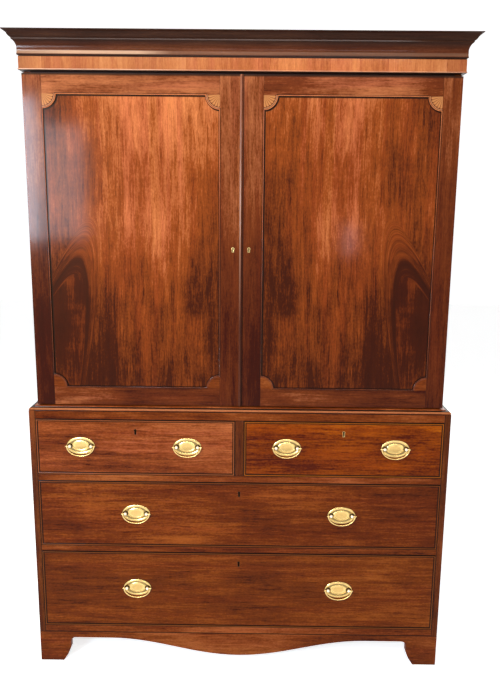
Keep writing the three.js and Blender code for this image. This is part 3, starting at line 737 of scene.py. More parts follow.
def panel_wood(name, hand):
    made, shader, place = placed_material(name, **POLISH)
    x, y, z = split(place)
    out = maths("ABSOLUTE", x)
    below = under_arch(out, z)
    scar = times(spread(below, 0, 0.6 * SCAR_RIM), spread(z, 1.0, 1.15, 0.3, 1.0))
    sway = times(maths("SINE", times(z, 5)), 0.005)
    grain = vector_of(total(out, times(below, SCAR_PUSH), sway), plus(y, 5.2), plus(z, 7.7))
    sides = ramp_of(spread(out, 0.05, 0.6), list(zip(PANEL_STOPS, PANEL_SIDES[hand])))
    rise = ramp_of(spread(z, 0.94, 1.83), PANEL_RISE)
    shade = times(spread(out, 0.42, 0.52), spread(z, 1.33, 1.43, -0.12, 0.0))
    bias = total(times(sides, rise), times(scar, -0.06), shade, 0.03)
    ripple = plus(times(scar, 0.2), 0.16)
    streaks = minus(0.72, times(scar, 0.22))
    colour = lay_wood(shader, grain, BRIGHT, streaks, 0.6, ripple, bias, 0.4)
    # Painted shade: a dark line just inside the bead all round, and the bead's painted shadow down and to the
    # right.
    bead_edge_shade = spread(opening_distance(place, hand), -4.6 * MM, -2.6 * MM, 0.0, 0.9)
    aside = vector_maths("ADD", place, (-BEAD_SHADOW, 0, BEAD_SHADOW))
    shadow = spread(opening_distance(aside, hand), -4.6 * MM, -2.6 * MM, 0.0, 0.97)
    paint(shader, mix_colours(larger(bead_edge_shade, shadow), colour, SHADE_AND_SEAM_DARK))
    return made


for hand in HANDS:
    dress(f"door_{hand}_panel", panel_wood("figured mahogany " + hand, hand))

# %% [markdown]
# A door frame is stiles and rails: the stiles run full height with upright grain, and the rails lie
# between them. The frame is one solid in CAD, so the material tells them apart by how far out a point
# lies, and draws the hairline of glue where they meet.

# %% Door frames
# How light a stile is up the door: painted light from above, darker towards the foot.
STILE_RISE = [(0.0, 0.06), (0.25, 0.14), (0.5, 0.32), (0.7, 0.56), (0.93, 0.62), (1.0, 0.75)]
DOOR_LOW, DOOR_HIGH = 0.9, 1.88
DOOR_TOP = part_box("door_left_frame")[1].z
DOOR_KEY_X = 24 * MM
DOOR_KEY_Z = 1.375


def frame_wood(name, hand, seed):
    made, shader, place = placed_material(name, **POLISH)
    x, _, z = split(place)
    left, _, right, _ = opening(hand)
    middle = (left + right) / 2
    half = right - middle
    away = apart(x, middle)
    in_stile = maths("GREATER_THAN", away, half)
    grain = choose_place(in_stile, along(place, "X", seed + 3), along(place, "Z", seed))
    height = spread(z, DOOR_LOW, DOOR_HIGH)
    # Rails and stiles are painted lighter towards the top of the door: painted light from above.
    bias = choose(in_stile, spread(height, 0, 1, 0.45, 0.64), ramp_of(height, STILE_RISE))
    colour = lay_wood(shader, grain, FRAME, 0.6, choose(in_stile, 0.8, 0.45), 0.1, bias, 0.4)
    hairline = spread(apart(away, half), 0.2 * MM, 0.7 * MM, 0.75, 0.0)
    colour = mix_colours(hairline, colour, (0.03, 0.008, 0.004, 1))
    # Painted shade: a dark line on the frame just outside the bead, and inside the keyhole.
    lines = spread(apart(opening_distance(place, hand), 2.0 * MM), 0.5 * MM, 1.2 * MM, 0.75, 0.0)
    key_x = DOOR_KEY_X if hand == "right" else -DOOR_KEY_X
    lines = larger(lines, painted_keyhole_shade(place, key_x, DOOR_KEY_Z, FRAME_FACE))
    # Painted shadow of the frieze across the top of the door.
    frieze_shadow = spread(z, DOOR_TOP - 7 * MM, DOOR_TOP - 3 * MM, 0.0, 0.9)
    paint(shader, mix_colours(larger(lines, frieze_shadow), colour, SHADE_AND_SEAM_DARK))
    return made


for seed, hand in enumerate(HANDS):
    finish_board(f"door_{hand}_frame", frame_wood(f"mahogany door {hand}", hand, 81 + 10 * seed), 0.6 * MM)
print("rails lie between", {hand: [round(v, 3) for v in opening(hand)[::2]] for hand in HANDS})

# %% [markdown]
# The frieze is veneered with short pieces laid across it, so its grain stands up and each leaf has its own
# tone. A staircase of the x coordinate gives every leaf a number, and noise turns that into a tone. The
# cornice and the waist moulding run with the grain, which turns the corner with them.

# %% Frieze and mouldings
LEAF_WIDTH = 0.083
LID_EDGE = 20 * MM
CORNER = (0.637, -0.248)
DUST = {"Base Color": (0.075, 0.05, 0.04, 1), "Roughness": 0.85, "Specular IOR Level": 0.1}
CORNICE_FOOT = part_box("cornice")[0].z
WAIST_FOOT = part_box("waist_moulding")[0].z
FRIEZE_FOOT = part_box("frieze")[0].z


def banded_wood(name):
    """Cross banding that smoke has darkened at both ends, over a bead with a painted highlight, strongest at
    its left, and painted shade on its lowest edge.
    """
    made, shader, place = placed_material(name, **POLISH)
    x, y, z = split(place)
    run = plus(x, y)
    own = number_noise(maths("FLOOR", maths("DIVIDE", run, LEAF_WIDTH)))
    grain = vector_of(plus(run, times(own, 3)), y, z)
    colour = lay_wood(shader, grain, BANDING, 0.7, 0.35, 0.1, plus(swing(own, 0.3), 0.42), 0.42)
    aged = plus(spread(x, -0.25, 0.05, 0.24, 0.0), spread(x, 0.38, 0.6, 0.0, 0.22))
    aged = plus(aged, spread(x, -0.64, -0.57, 0.2, 0.0))
    colour = mix_colours(aged, colour, (0.05, 0.03, 0.02, 1))
    # A painted highlight on the bead at the frieze's foot, strongest at the left.
    bead = spread(z, FRIEZE_FOOT + 3.4 * MM, FRIEZE_FOOT + 4.2 * MM, 0.75, 0.0)
    bead = times(bead, spread(x, -0.27, -0.18, 0.9, 0.45))
    colour = mix_colours(bead, colour, (0.75, 0.42, 0.27, 1))
    # Painted shade along the frieze's lowest edge, its underside.
    frieze_underside_shade = spread(z, FRIEZE_FOOT + 0.9 * MM, FRIEZE_FOOT + 1.5 * MM, 0.9, 0.0)
    paint(shader, mix_colours(frieze_underside_shade, colour, SHADE_AND_SEAM_DARK))
    return made


def moulding_wood(name, tones, seed, polish):
    """Grain that runs along X on the front and the lid, and along Y on the returns, changing at the mitre."""
    made, shader, place = placed_material(name, **polish)
    x, y, _ = split(place)
    beyond_side = minus(maths("ABSOLUTE", x), CORNER[0])
    on_return = maths("GREATER_THAN", beyond_side, larger(minus(CORNER[1], y), -LID_EDGE))
    grain = choose_place(on_return, along(place, "X", seed), along(place, "Y", seed))
    return made, shader, grain, lay_wood(shader, grain, tones, 0.8, 0.4, 0.0, 0.5, 0.42)


def cornice_wood(name):
    """Nearly black above, a redder, glossier cove with a painted highlight low in it, strongest at the left,
    and dust on the lid.
    """
    made, dark, grain, _ = moulding_wood(name, DARK, 101, WAXED)
    cove = add_node(made.node_tree, "ShaderNodeBsdfPrincipled", {**POLISH, "Coat Weight": 0.14})
    colour = lay_wood(cove, grain, COVE, 0.6, 0.4, 0.0, 0.5, 0.4)
    x, _, z = split(object_place(dark))
    # A painted highlight: a pale band low in the cove, strongest left of the middle and fading towards the
    # right.
    painted_highlight = band(z, CORNICE_FOOT + 7.5 * MM, CORNICE_FOOT + 16.5 * MM, 1.2 * MM)
    highlight_reach = times(spread(x, -0.3, -0.2, 0.66, 0.1), spread(x, -0.64, -0.5, 0.5, 1.0))
    paint(cove, mix_colours(times(painted_highlight, highlight_reach), colour, (0.72, 0.42, 0.25, 1)))
    above_bead = maths("GREATER_THAN", z, CORNICE_FOOT + 6.7 * MM)
    reach = times(above_bead, spread(z, CORNICE_FOOT + 20 * MM, CORNICE_FOOT + 42 * MM, 1, 0))
    dusty = add_node(made.node_tree, "ShaderNodeBsdfPrincipled", DUST)
    facing = add_node(made.node_tree, "ShaderNodeNewGeometry").outputs["Normal"]
    upward = spread(split(facing)[2], 0.8, 0.95)
    show(made, mix_shaders(upward, mix_shaders(reach, dark, cove), dusty))
    return made


def waist_wood(name):
    """The sloped face carries a painted highlight, and the hollow above it and the strip at its foot carry
    painted shade.
    """
    made, shader, _, colour = moulding_wood(name, BRIGHT, 104, POLISH)
    z = minus(split(object_place(shader))[2], WAIST_FOOT)
    # A painted highlight on the sloped face.
    slope_highlight = times(band(z, 3.2 * MM, 7.6 * MM), 0.7)
    colour = mix_colours(slope_highlight, colour, (0.42, 0.14, 0.05, 1))
    # Painted shade in the hollow above it and along the foot.
    groove_shade = larger(band(z, 8.0 * MM, 9.6 * MM, 0.2 * MM), spread(z, 1.4 * MM, 2.0 * MM, 1, 0))
    paint(shader, mix_colours(groove_shade, colour, SHADE_AND_SEAM_DARK))
    return made


finish_board("frieze", banded_wood("cross banding"), 0.4 * MM)
dress("cornice", cornice_wood("dark mahogany cornice"))
dress("waist_moulding", waist_wood("mahogany waist"))
print("frieze leaves:", round(2 * CORNER[0] / LEAF_WIDTH))

# %% [markdown]
# Brass is a metal, so its colour lives in its reflections. Slight clouds of tarnish dull it and make it
# browner, and fine scratches break its shine. Newer fittings are brighter, and old liners are nearly black.

# %% Brass
def brass_finish(name, bright, dull, rough, tarnish):
    made, shader, place = placed_material(name, Metallic=1.0)
    clouds = noise(place, (90, 90, 90), 3, 0.6)
    scratches = noise(place, (260, 900, 2400), 2)
    paint(shader, mix_colours(spread(clouds, 0.45, 0.8, 0.0, tarnish), (*bright, 1), (*dull, 1)))
    feed(shader, "Roughness", total(rough, swing(clouds, 0.16), swing(scratches, 0.08)))
    bump(shader, scratches, 0.01 * MM, 0.25)
    return made, shader


brass = brass_finish("polished brass", (0.78, 0.54, 0.21), (0.48, 0.28, 0.085), 0.24, 0.5)[0]
dull_brass = brass_finish("dull brass", (0.6, 0.4, 0.15), (0.28, 0.16, 0.06), 0.36, 0.7)[0]
bronze = brass_finish("bronzed brass", (0.07, 0.035, 0.015), (0.03, 0.015, 0.007), 0.45, 0.6)[0]
hinges = [name for name in nodes if name.startswith("hinge_")]
for name in hinges:
    finish_board(name, dull_brass, 0.2 * MM)
print("hinges dressed:", len(hinges))

# %% [markdown]
# Each handle has a pressed oval plate, two turned posts and a hanging bail. The plate starts as a filled
# oval. A row of insets, each with its own width and rise, presses the rim, the field and the inner oval,
# the way the die pressed the sheet. The inner oval is shorter than the rim, which leaves room for the posts.

# %% The pressed plate
PLATE_WIDTH = 89 * MM
PLATE_HEIGHT = 57 * MM
SHEET = 0.9 * MM
PRESSINGS = [
    (0.7, 0.6), (1.6, 0.9), (1.7, 0.35), (1.6, -0.35), (1.3, -0.9), (1.6, -0.35), (2.0, 0.1), (1.5, 0.7),
    (1.1, 0.75), (1.2, 0.1), (1.1, -0.65), (1.6, -0.3),
]
FIELD = 6
OVAL_SHARE = 0.86


def pressed_plate(name):
    plate = primitive(
        name, bpy.ops.mesh.primitive_circle_add,
        vertices=72, radius=PLATE_WIDTH / 2, fill_type="NGON", rotation=(math.pi / 2, 0, 0),
    )
    bpy.ops.object.transform_apply(rotation=True)
    edit(plate)
    select_mesh()
    bpy.ops.transform.resize(value=(1, 1, PLATE_HEIGHT / PLATE_WIDTH))
    extrude((0, -SHEET, 0))
    for number, (width, rise) in enumerate(PRESSINGS):
        bpy.ops.mesh.inset(thickness=width * MM, depth=rise * MM)
        if number == FIELD:
            bpy.ops.transform.resize(value=(OVAL_SHARE, 1, 1))
    return complete(plate, 50)


plate_model = pressed_plate("plate_model")
print("plate faces:", len(plate_model.data.polygons))

# %% [markdown]
# The posts are lathe work: half of the outline is drawn from the plate to the button on the head, and spun
# round the post's own axis. A nut holds each one inside the drawer.

# %% The turned posts
POST_OUT = 33.5 * MM
PIVOT_RISE = 8.6 * MM
HEAD_RADIUS = 5.1 * MM
POST_OUTLINE = [(0, 0.4), (6.4, 0.4), (6.4, 1.6), (5.9, 2.3), (4.4, 2.7), (3.4, 3.1), (3.2, 3.7)]
BUTTON_OUTLINE = [(1.9, 4.95), (1.5, 5.4), (0, 5.6)]
SHANK_OUTLINE = [(0, -27.8), (2, -27.8), (2.4, -27), (2.4, 0)]
NUT_DEPTH = 3.5 * MM
NUT_PLACE = 22.3 * MM


def raised(points, rise=0.0):
    """Turns (out, rise) points in millimetres into metres, above a starting rise."""
    return [(out * MM, rise + up * MM) for out, up in points]


def post_outline():
    head = []
    for step in range(1, 10):
        angle = math.radians(-50 + step * 13)
        head.append((HEAD_RADIUS * math.cos(angle), PIVOT_RISE + HEAD_RADIUS * math.sin(angle)))
    return raised(POST_OUTLINE) + head + raised(BUTTON_OUTLINE, PIVOT_RISE)


def turned(name, outline, centre, steps=32):
    """Spins an outline of (out, rise) points round an axis along Y through centre."""
    piece = draw(name, [(centre[0] + out, -rise, centre[1]) for out, rise in outline])
    bpy.ops.mesh.spin(steps=steps, angle=2 * math.pi, center=(centre[0], 0, centre[1]), axis=(0, 1, 0))
    return complete(piece, 40)


def nut(name, x):
    piece = primitive(
        name, bpy.ops.mesh.primitive_cylinder_add, vertices=6, radius=6 * MM, depth=NUT_DEPTH,
        location=(x, NUT_PLACE + NUT_DEPTH / 2, 0), rotation=(math.pi / 2, 0, 0),
    )
    modify(piece, "BEVEL", width=0.5 * MM, segments=2)
    settle(piece)
    return [piece, turned(name + "_shank", raised(SHANK_OUTLINE), (x, 0), 12)]


post_models = []
for side in (-1, 1):
    post_models.append(turned(f"post_{side}", post_outline(), (side * POST_OUT, 0)))
    post_models += nut(f"nut_{side}", side * POST_OUT)
plate_model = join("plate_model", [plate_model, *post_models])
print("plate with posts:", len(plate_model.data.polygons), "faces")

# %% [markdown]
# The bail is a bent rod. Its round section is spun half a turn from one post to the other, then flattened
# into half an oval. The pins that point into the posts, and the small buttons outside them, are turned.

# %% The bail
BAIL_HALF = 42.5 * MM
BAIL_DROP = 31.5 * MM
ROD = 2.2 * MM
PIVOT = (0, -PIVOT_RISE, 0)
END_OUTLINE = [
    (0, 33.9), (1.5, 33.9), (1.5, 39.3), (2.6, 39.7), (3.0, 40.5), (3.0, 44.6), (2.6, 45.4), (1.7, 45.8),
    (1.9, 46.6), (1.4, 47.3), (0, 47.5),
]


def bail_rod(name):
    rod = primitive(
        name, bpy.ops.mesh.primitive_circle_add,
        vertices=14, radius=ROD, location=(-BAIL_HALF, -PIVOT_RISE, 0),
    )
    bpy.ops.object.transform_apply(location=True)
    edit(rod)
    select_mesh()
    bpy.ops.mesh.spin(steps=48, angle=math.pi, center=PIVOT, axis=(0, 1, 0))
    select_mesh()
    bpy.ops.transform.resize(value=(1, 1, BAIL_DROP / BAIL_HALF), center_override=PIVOT)
    return complete(rod, 60)


def bail_end(name, side):
    """The eye at the end of the rod: a pin into the post and a button outside, along X."""
    piece = draw(name, [(side * reach, -PIVOT_RISE - out, 0) for out, reach in raised(END_OUTLINE)])
    bpy.ops.mesh.spin(steps=20, angle=2 * math.pi, center=PIVOT, axis=(1, 0, 0))
    return complete(piece, 40)


bail_model = join("bail_model", [bail_rod("rod"), bail_end("end_left", -1), bail_end("end_right", 1)])
low = min(v.co.z for v in bail_model.data.vertices)
print("bail hangs", round(-low / MM, 1), "mm below its pivot")

# %% [markdown]
# One handle is modelled and copied eight times, and each copy has its own mesh. A plate rides on its
# drawer, and a bail on its own body, so it can swing. The plate's UV map holds millimetres from its centre.

# %% Place the handles
LOW_RISE = 3.4 * MM
OVAL_HALF = (19, 11)


def squared(value):
    return maths("POWER", value, 2)


def plate_brass():
    """Polish reaches the raised parts and leaves the groove brown. A ring round each post is tarnish with
    painted shade.
    """
    made, shader = brass_finish("plate brass", (0.75, 0.52, 0.19), (0.47, 0.29, 0.095), 0.24, 0.5)
    polished, rough = fed(shader, "Base Color"), fed(shader, "Roughness")
    across, up, _ = split(add_node(made.node_tree, "ShaderNodeUVMap", uv_map="face").outputs[0])
    rise = minus(FACE_Y, split(object_place(shader))[1])
    groove = spread(rise, 1.25 * MM, 1.7 * MM, 0.7, 0.0)
    from_post = minus(maths("ABSOLUTE", across), POST_OUT / MM)
    away = maths("SQRT", plus(squared(from_post), squared(up)))
    # Tarnish and painted shade in a ring round each post.
    ring = times(spread(away, 7.5, 10.5, 0.97, 0.0), maths("LESS_THAN", rise, LOW_RISE))
    shares = [maths("DIVIDE", value, half) for value, half in zip((across, up), OVAL_HALF)]
    oval = plus(*[squared(share) for share in shares])
    toned = mix_colours(spread(oval, 0.7, 1.0, 0.6, 0.0), polished, (0.56, 0.34, 0.11, 1))
    colour = mix_colours(larger(groove, ring), toned, (0.035, 0.018, 0.008, 1))
    head = spread(rise, 5.5 * MM, 7.0 * MM)
    paint(shader, mix_colours(head, colour, (0.97, 0.86, 0.66, 1)))
    feed(shader, "Roughness", plus(rough, times(head, 0.2)))
    return made


unfold(plate_model, "face", lambda at: (at.x / MM, at.z / MM))
plate_finish = plate_brass()
for place in DRAWERS:
    for hand in HANDS:
        name = f"handle_{place}_{hand}"
        low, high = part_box(name + "_plate")
        centre = Vector(((low.x + high.x) / 2, FACE_Y, (low.z + high.z) / 2))
        plate = copy_at(plate_model, name + "_pressed_plate", centre)
        belong(plate, "drawer_" + place, "brass", plate_finish, name + "_plate")
        bail = copy_at(bail_model, name + "_swung_bail", centre)
        belong(bail, name + "_bail", "brass", brass, name + "_bail")
for model in (plate_model, bail_model):
    bpy.data.objects.remove(model)
print("handles placed:", 2 * len(DRAWERS))

# %% [markdown]
# The edge of each panel's opening carries a thin bead, which goes round the quarter circles that stand
# into the corners. The outline is drawn once round, turned into a curve, and given thickness as a curve
# bevel, which keeps the bead round through every bend. Then it is made a mesh again.

# %% Beads round the panels
BEAD_RADIUS = 1.3 * MM
BEAD_INSET = 0.5 * MM
BEAD_DEPTH = 0.8 * MM


def quarter(centre, start, radius, steps=12):
    angles = [math.radians(start - 90 * step / steps) for step in range(steps + 1)]
    return [(centre[0] + radius * math.cos(a), centre[1] + radius * math.sin(a)) for a in angles]


def opening_outline(hand):
    x0, z0, x1, z1 = opening(hand)
    left, foot, right, top = x0 + BEAD_INSET, z0 + BEAD_INSET, x1 - BEAD_INSET, z1 - BEAD_INSET
    points = []
    for centre, start in (((right, foot), 180), ((right, top), 270), ((left, top), 360), ((left, foot), 90)):
        points += quarter(centre, start, CORNER_RADIUS)
    return points


def bead_round(hand):
    outline = [(x, FRAME_FACE + BEAD_DEPTH, z) for x, z in opening_outline(hand)]
    bead = draw(f"door_{hand}_bead", [*outline, outline[0]])
    close_seams()
    leave()
    activate(bead)
    bpy.ops.object.convert(target="CURVE")
    bead = bpy.context.object
    bead.data.bevel_depth = BEAD_RADIUS
    bead.data.bevel_resolution = 3
    bpy.ops.object.convert(target="MESH")
    bead = bpy.context.object
    settle(bead, 50)
    return bead


def bead_material():
    """Painted lighter towards the top of the doors: painted light from above."""
    made, shader, place = placed_material("bead mahogany", **{**POLISH, "Coat Weight": 0.5})
    # The bead is painted lighter higher up, as painted light from above.
    bias = spread(split(place)[2], 1.0, 1.8, 0.1, 1.0)
    lay_wood(shader, along(place, "Z", 131), BRIGHT, 0.5, 0.3, 0.0, bias, 0.35)
    return made


bead_wood = bead_material()
for hand in HANDS:
    bead = bead_round(hand)
    belong(bead, "door_" + hand, "mahogany", bead_wood)
    print(bead.name, "faces:", len(bead.data.polygons))

# %% [markdown]
# Each upper corner is inlaid with a fan of satinwood petals. A petal was dipped in hot sand along one side
# to darken it, then all were fitted and levelled, so the real fan is flat. Here it is a thin quarter disc,
# spun about the corner, and its UV map says how far right and up of the corner each point lies. The
# material turns those two numbers into a radius and an angle, and draws petals, burnt sides and string.
# The lower corners are plain mahogany with a fainter string.

# %% Inlaid quarter discs
INLAY_RADIUS = 39 * MM
INLAY_RISE = 0.15 * MM
INLAY_DEPTH = 0.9 * MM
PETALS = 6
SCALLOP = 0.26
STRING = 0.94


def quarter_disc(name, corner, right, up):
    """A thin quarter disc at a corner (x, z) of an opening. right and up are 1 or -1, into the opening."""
    y = FRAME_FACE - INLAY_RISE
    disc = draw(name, [(corner[0] + right * INLAY_RADIUS * step / 6, y, corner[1]) for step in range(7)])
    quarter_turn = right * up * math.pi / 2
    bpy.ops.mesh.spin(steps=18, angle=quarter_turn, center=(corner[0], y, corner[1]), axis=(0, 1, 0))
    tidy()
    select_mesh()
    extrude((0, INLAY_DEPTH, 0))
    complete(disc)
    unfold(disc, "corner", lambda at: (
        right * (at.x - corner[0]) / INLAY_RADIUS, up * (at.z - corner[1]) / INLAY_RADIUS))
    return disc


def polar(tree):
    """The distance from the corner and the angle, both from 0 to 1."""
    right, up, _ = split(add_node(tree, "ShaderNodeUVMap", uv_map="corner").outputs[0])
    angle = maths("DIVIDE", maths("ARCTAN2", up, right), math.pi / 2)
    return maths("SQRT", plus(times(right, right), times(up, up))), angle


def string_line(radius):
    """1 on the pale string that follows the arc."""
    return spread(apart(radius, STRING), 0.018, 0.026, 1.0, 0.0)


def fan_material():
    made, shader = blank_material("satinwood fan", **POLISH)
    radius, angle = polar(made.node_tree)
    part = maths("FRACT", times(angle, PETALS))
    off_middle = apart(part, 0.5)
    scallop = maths("SQRT", minus(0.251, times(off_middle, off_middle)))
    tip = plus(times(scallop, SCALLOP), 1 - SCALLOP)
    streak = noise(vector_of(times(angle, 60), times(radius, 5), 0), (1, 1, 1), 3)
    petal = mix_colours(streak, (0.33, 0.1, 0.025, 1), (0.62, 0.25, 0.08, 1))
    petal = mix_colours(spread(part, 0.0, 0.5, 0.85, 0.0), petal, (0.15, 0.04, 0.01, 1))
    petal = mix_colours(spread(off_middle, 0.45, 0.49), petal, (0.06, 0.02, 0.008, 1))
    colour = mix_colours(spread(minus(radius, tip), -0.008, 0.008), petal, (0.13, 0.025, 0.008, 1))
    paint(shader, mix_colours(string_line(radius), colour, (0.45, 0.2, 0.08, 1)))
    feed(shader, "Roughness", plus(swing(streak, 0.1), 0.38))
    return made


def plain_corner_material():
    made, shader, place = placed_material("mahogany corner", **POLISH)
    colour = lay_wood(shader, along(place, "X", 141), MAHOGANY, 0.7, 0.5, 0.1, 0.42, 0.4)
    paint(shader, mix_colours(string_line(polar(made.node_tree)[0]), colour, (0.14, 0.035, 0.015, 1)))
    return made


fan_finish = fan_material()
corner_finish = plain_corner_material()
for hand in HANDS:
    x0, z0, x1, z1 = opening(hand)
    for label, corner, right, up in (
        ("upper_left", (x0, z1), 1, -1), ("upper_right", (x1, z1), -1, -1),
        ("lower_left", (x0, z0), 1, 1), ("lower_right", (x1, z0), -1, 1),
    ):
        disc = quarter_disc(f"door_{hand}_{label}_inlay", corner, right, up)
        slot, finish = ("satinwood", fan_finish) if up < 0 else ("mahogany", corner_finish)
        belong(disc, "door_" + hand, slot, finish)
print("inlaid corners: 8, of which 4 are fans with", PETALS, "petals each")

# %% [markdown]
# A keyhole in soft wood wears, so a thin metal liner is let into it. The keyhole's outline, a circle with
# a slot under it, is drawn once wider, filled, inset by the liner's width, and the middle is deleted.

# %% Keyhole liners
KEY_RADIUS = 3.2 * MM
SLOT_HALF = 2.1 * MM
LINER_BACK = 1.5 * MM
LINER_DEPTH = 1.9 * MM
LINER_DROP = 33.2 * MM
DRAWER_SLOT = 13 * MM
DOOR_SLOT = 9 * MM
DOOR_LINER_SHARE = 0.496


def keyhole_outline(centre, slot, grow):
    radius = KEY_RADIUS + grow
    half = SLOT_HALF + grow
    start = math.asin(half / radius)
    points = []
    for step in range(25):
        angle = -math.pi / 2 + start + (2 * math.pi - 2 * start) * step / 24
        points.append((centre[0] + radius * math.cos(angle), centre[1] + radius * math.sin(angle)))
    return points + [(centre[0] + side * half, centre[1] - slot - grow) for side in (-1, 1)]


def keyhole_liner(name, centre, face, slot, width):
    """A ring: the middle of the filled outline is deleted, and what is left is pulled forwards."""
    liner = draw(name, [(x, face + LINER_BACK, z) for x, z in keyhole_outline(centre, slot, width)])
    close_outline()
    bpy.ops.mesh.inset(thickness=width, depth=0)
    bpy.ops.mesh.delete(type="FACE")
    select_mesh()
    extrude((0, -LINER_DEPTH, 0))
    return complete(liner, rounding=0.2 * MM)


for place in DRAWERS:
    low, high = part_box(f"drawer_{place}_front")
    centre = ((low.x + high.x) / 2, high.z - LINER_DROP)
    width, metal = (1.4 * MM, dull_brass) if place == "top_right" else (1.1 * MM, bronze)
    liner = keyhole_liner(f"drawer_{place}_keyhole_liner", centre, FACE_Y, DRAWER_SLOT, width)
    belong(liner, "drawer_" + place, "brass", metal)
for hand, side, metal in (("left", -1, brass), ("right", 1, dull_brass)):
    low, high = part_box(f"door_{hand}_frame")
    centre = (side * DOOR_KEY_X, low.z + (high.z - low.z) * DOOR_LINER_SHARE)
    liner = keyhole_liner(f"door_{hand}_keyhole_liner", centre, FRAME_FACE, DOOR_SLOT, 1.4 * MM)
    belong(liner, "door_" + hand, "brass", metal)
print("keyhole liners:", len(DRAWERS) + len(HANDS))

# %% [markdown]
# Behind each keyhole sits a lock. It is a screwed back plate with a raised case, so it starts as a filled
# rectangle that is extruded, inset and extruded again. The right door has two bolts instead, at its top
# and foot: a long plate, a rod on it and a turned knob.

# %% Locks and bolts
DOOR_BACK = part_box("door_left_frame")[1].y
FRONT_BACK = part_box("drawer_top_left_front")[1].y
LOCK_PLATE = 1.2 * MM
LOCK_RIM = 7 * MM
DRAWER_LOCK = (58 * MM, 46 * MM)
DOOR_LOCK = (50 * MM, 72 * MM)
BOLT_PLATE = (18 * MM, 84 * MM)
BOLT_ROD = 92 * MM
BOLT_X = 30 * MM
BOLT_DROP = 62 * MM
BOLT_LIFT = 66 * MM
SCREW_INSET = 3.6 * MM
SCREW_OUTLINE = [(0, 0.2), (2.3, 0.2), (2.3, 0.6), (1.4, 1.1), (0, 1.2)]
HUB_OUTLINE = [(0, -0.3), (4.2, -0.3), (4.0, 0.3), (0, 0.4)]
KNOB_OUTLINE = [(0, 4.2), (1.6, 4.2), (1.6, 6.4), (2.8, 6.9), (2.4, 7.5), (0, 7.6)]


def behind(outline, y):
    """An outline in millimetres that rises backwards from a face, for turned, which takes rise as -Y."""
    return [(out * MM, -y - rise * MM) for out, rise in outline]


def raised_plate(name, centre, y, size, rim, depth):
    """A plate on a face that looks along +Y, with a raised middle."""
    (x, z), half_x, half_z = centre, size[0] / 2, size[1] / 2
    corners = ((-1, -1), (1, -1), (1, 1), (-1, 1))
    plate = draw(name, [(x + right * half_x, y, z + up * half_z) for right, up in corners])
    close_outline()
    extrude((0, LOCK_PLATE, 0))
    bpy.ops.mesh.inset(thickness=rim, depth=0)
    extrude((0, depth - LOCK_PLATE, 0))
    return complete(plate, rounding=0.5 * MM)


def lock(name, centre, y, size, depth):
    pieces = [raised_plate(name, centre, y, size, LOCK_RIM, depth)]
    for number, (right, up) in enumerate(((-1, -1), (1, -1), (1, 1), (-1, 1))):
        spot = (centre[0] + right * (size[0] / 2 - SCREW_INSET), centre[1] + up * (size[1] / 2 - SCREW_INSET))
        pieces.append(turned(f"{name}_screw_{number}", behind(SCREW_OUTLINE, y + LOCK_PLATE), spot, 16))
    hub_centre = (centre[0], centre[1] + 4 * MM)
    pieces.append(turned(name + "_hub", behind(HUB_OUTLINE, y + depth), hub_centre, 20))
    return join(name, pieces)


def slide_bolt(name, x, z, up):
    """up is 1 for the bolt at the door's top and -1 at its foot."""
    plate = raised_plate(name, (x, z), DOOR_BACK, BOLT_PLATE, 4 * MM, 2.0 * MM)
    rod = primitive(
        name + "_rod", bpy.ops.mesh.primitive_cylinder_add,
        vertices=20, radius=2.6 * MM, depth=BOLT_ROD, location=(x, DOOR_BACK + 4.2 * MM, z + up * 5 * MM),
    )
    modify(rod, "BEVEL", width=0.6 * MM, segments=3, limit_method="ANGLE")
    settle(rod)
    knob = turned(name + "_knob", behind(KNOB_OUTLINE, DOOR_BACK), (x, z - up * 12 * MM), 20)
    return join(name, [plate, rod, knob])


for place in DRAWERS:
    low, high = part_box(f"drawer_{place}_front")
    centre = ((low.x + high.x) / 2, high.z - KEYHOLE_DROP)
    made = lock(f"drawer_{place}_lock", centre, FRONT_BACK, DRAWER_LOCK, 9 * MM)
    belong(made, "drawer_" + place, "brass", dull_brass)
centre = (-DOOR_KEY_X, DOOR_KEY_Z - 4 * MM)
made = lock("door_left_lock", centre, DOOR_BACK, DOOR_LOCK, 6.4 * MM)
belong(made, "door_left", "brass", dull_brass)
low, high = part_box("door_right_frame")
for label, z, up in (("upper", high.z - BOLT_DROP, 1), ("lower", low.z + BOLT_LIFT, -1)):
    made = slide_bolt(f"door_right_{label}_bolt", BOLT_X, z, up)
    belong(made, "door_right", "brass", dull_brass)
print("locks:", len(DRAWERS) + 1, "and bolts: 2")

# %% [markdown]
# The left door laps over the right one with a half-round bead. Its section is drawn as a half circle
# between two small flats, filled, and pulled up the height of the door.

# %% The astragal
FLAT_RISE = 0.6 * MM
ROUND_RISE = 0.9 * MM
FLAT = 0.7 * MM
ROUND_INSET = 1.2 * MM


def astragal():
    low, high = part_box("door_astragal")
    middle = (low.x + high.x) / 2
    across = (high.x - low.x) / 2 - ROUND_INSET
    round_y = high.y - ROUND_RISE
    section = [(low.x, high.y), (low.x, high.y - FLAT_RISE), (low.x + FLAT, round_y)]
    for step in range(17):
        angle = math.pi * (1 - step / 16)
        section.append((middle + across * math.cos(angle), round_y - (round_y - low.y) * math.sin(angle)))
    section += [(high.x - FLAT, round_y), (high.x, high.y - FLAT_RISE), (high.x, high.y)]
    bead = draw("door_astragal_bead", [(x, y, low.z) for x, y in section])
    close_outline()
    extrude((0, 0, high.z - low.z))
    return complete(bead, 40)


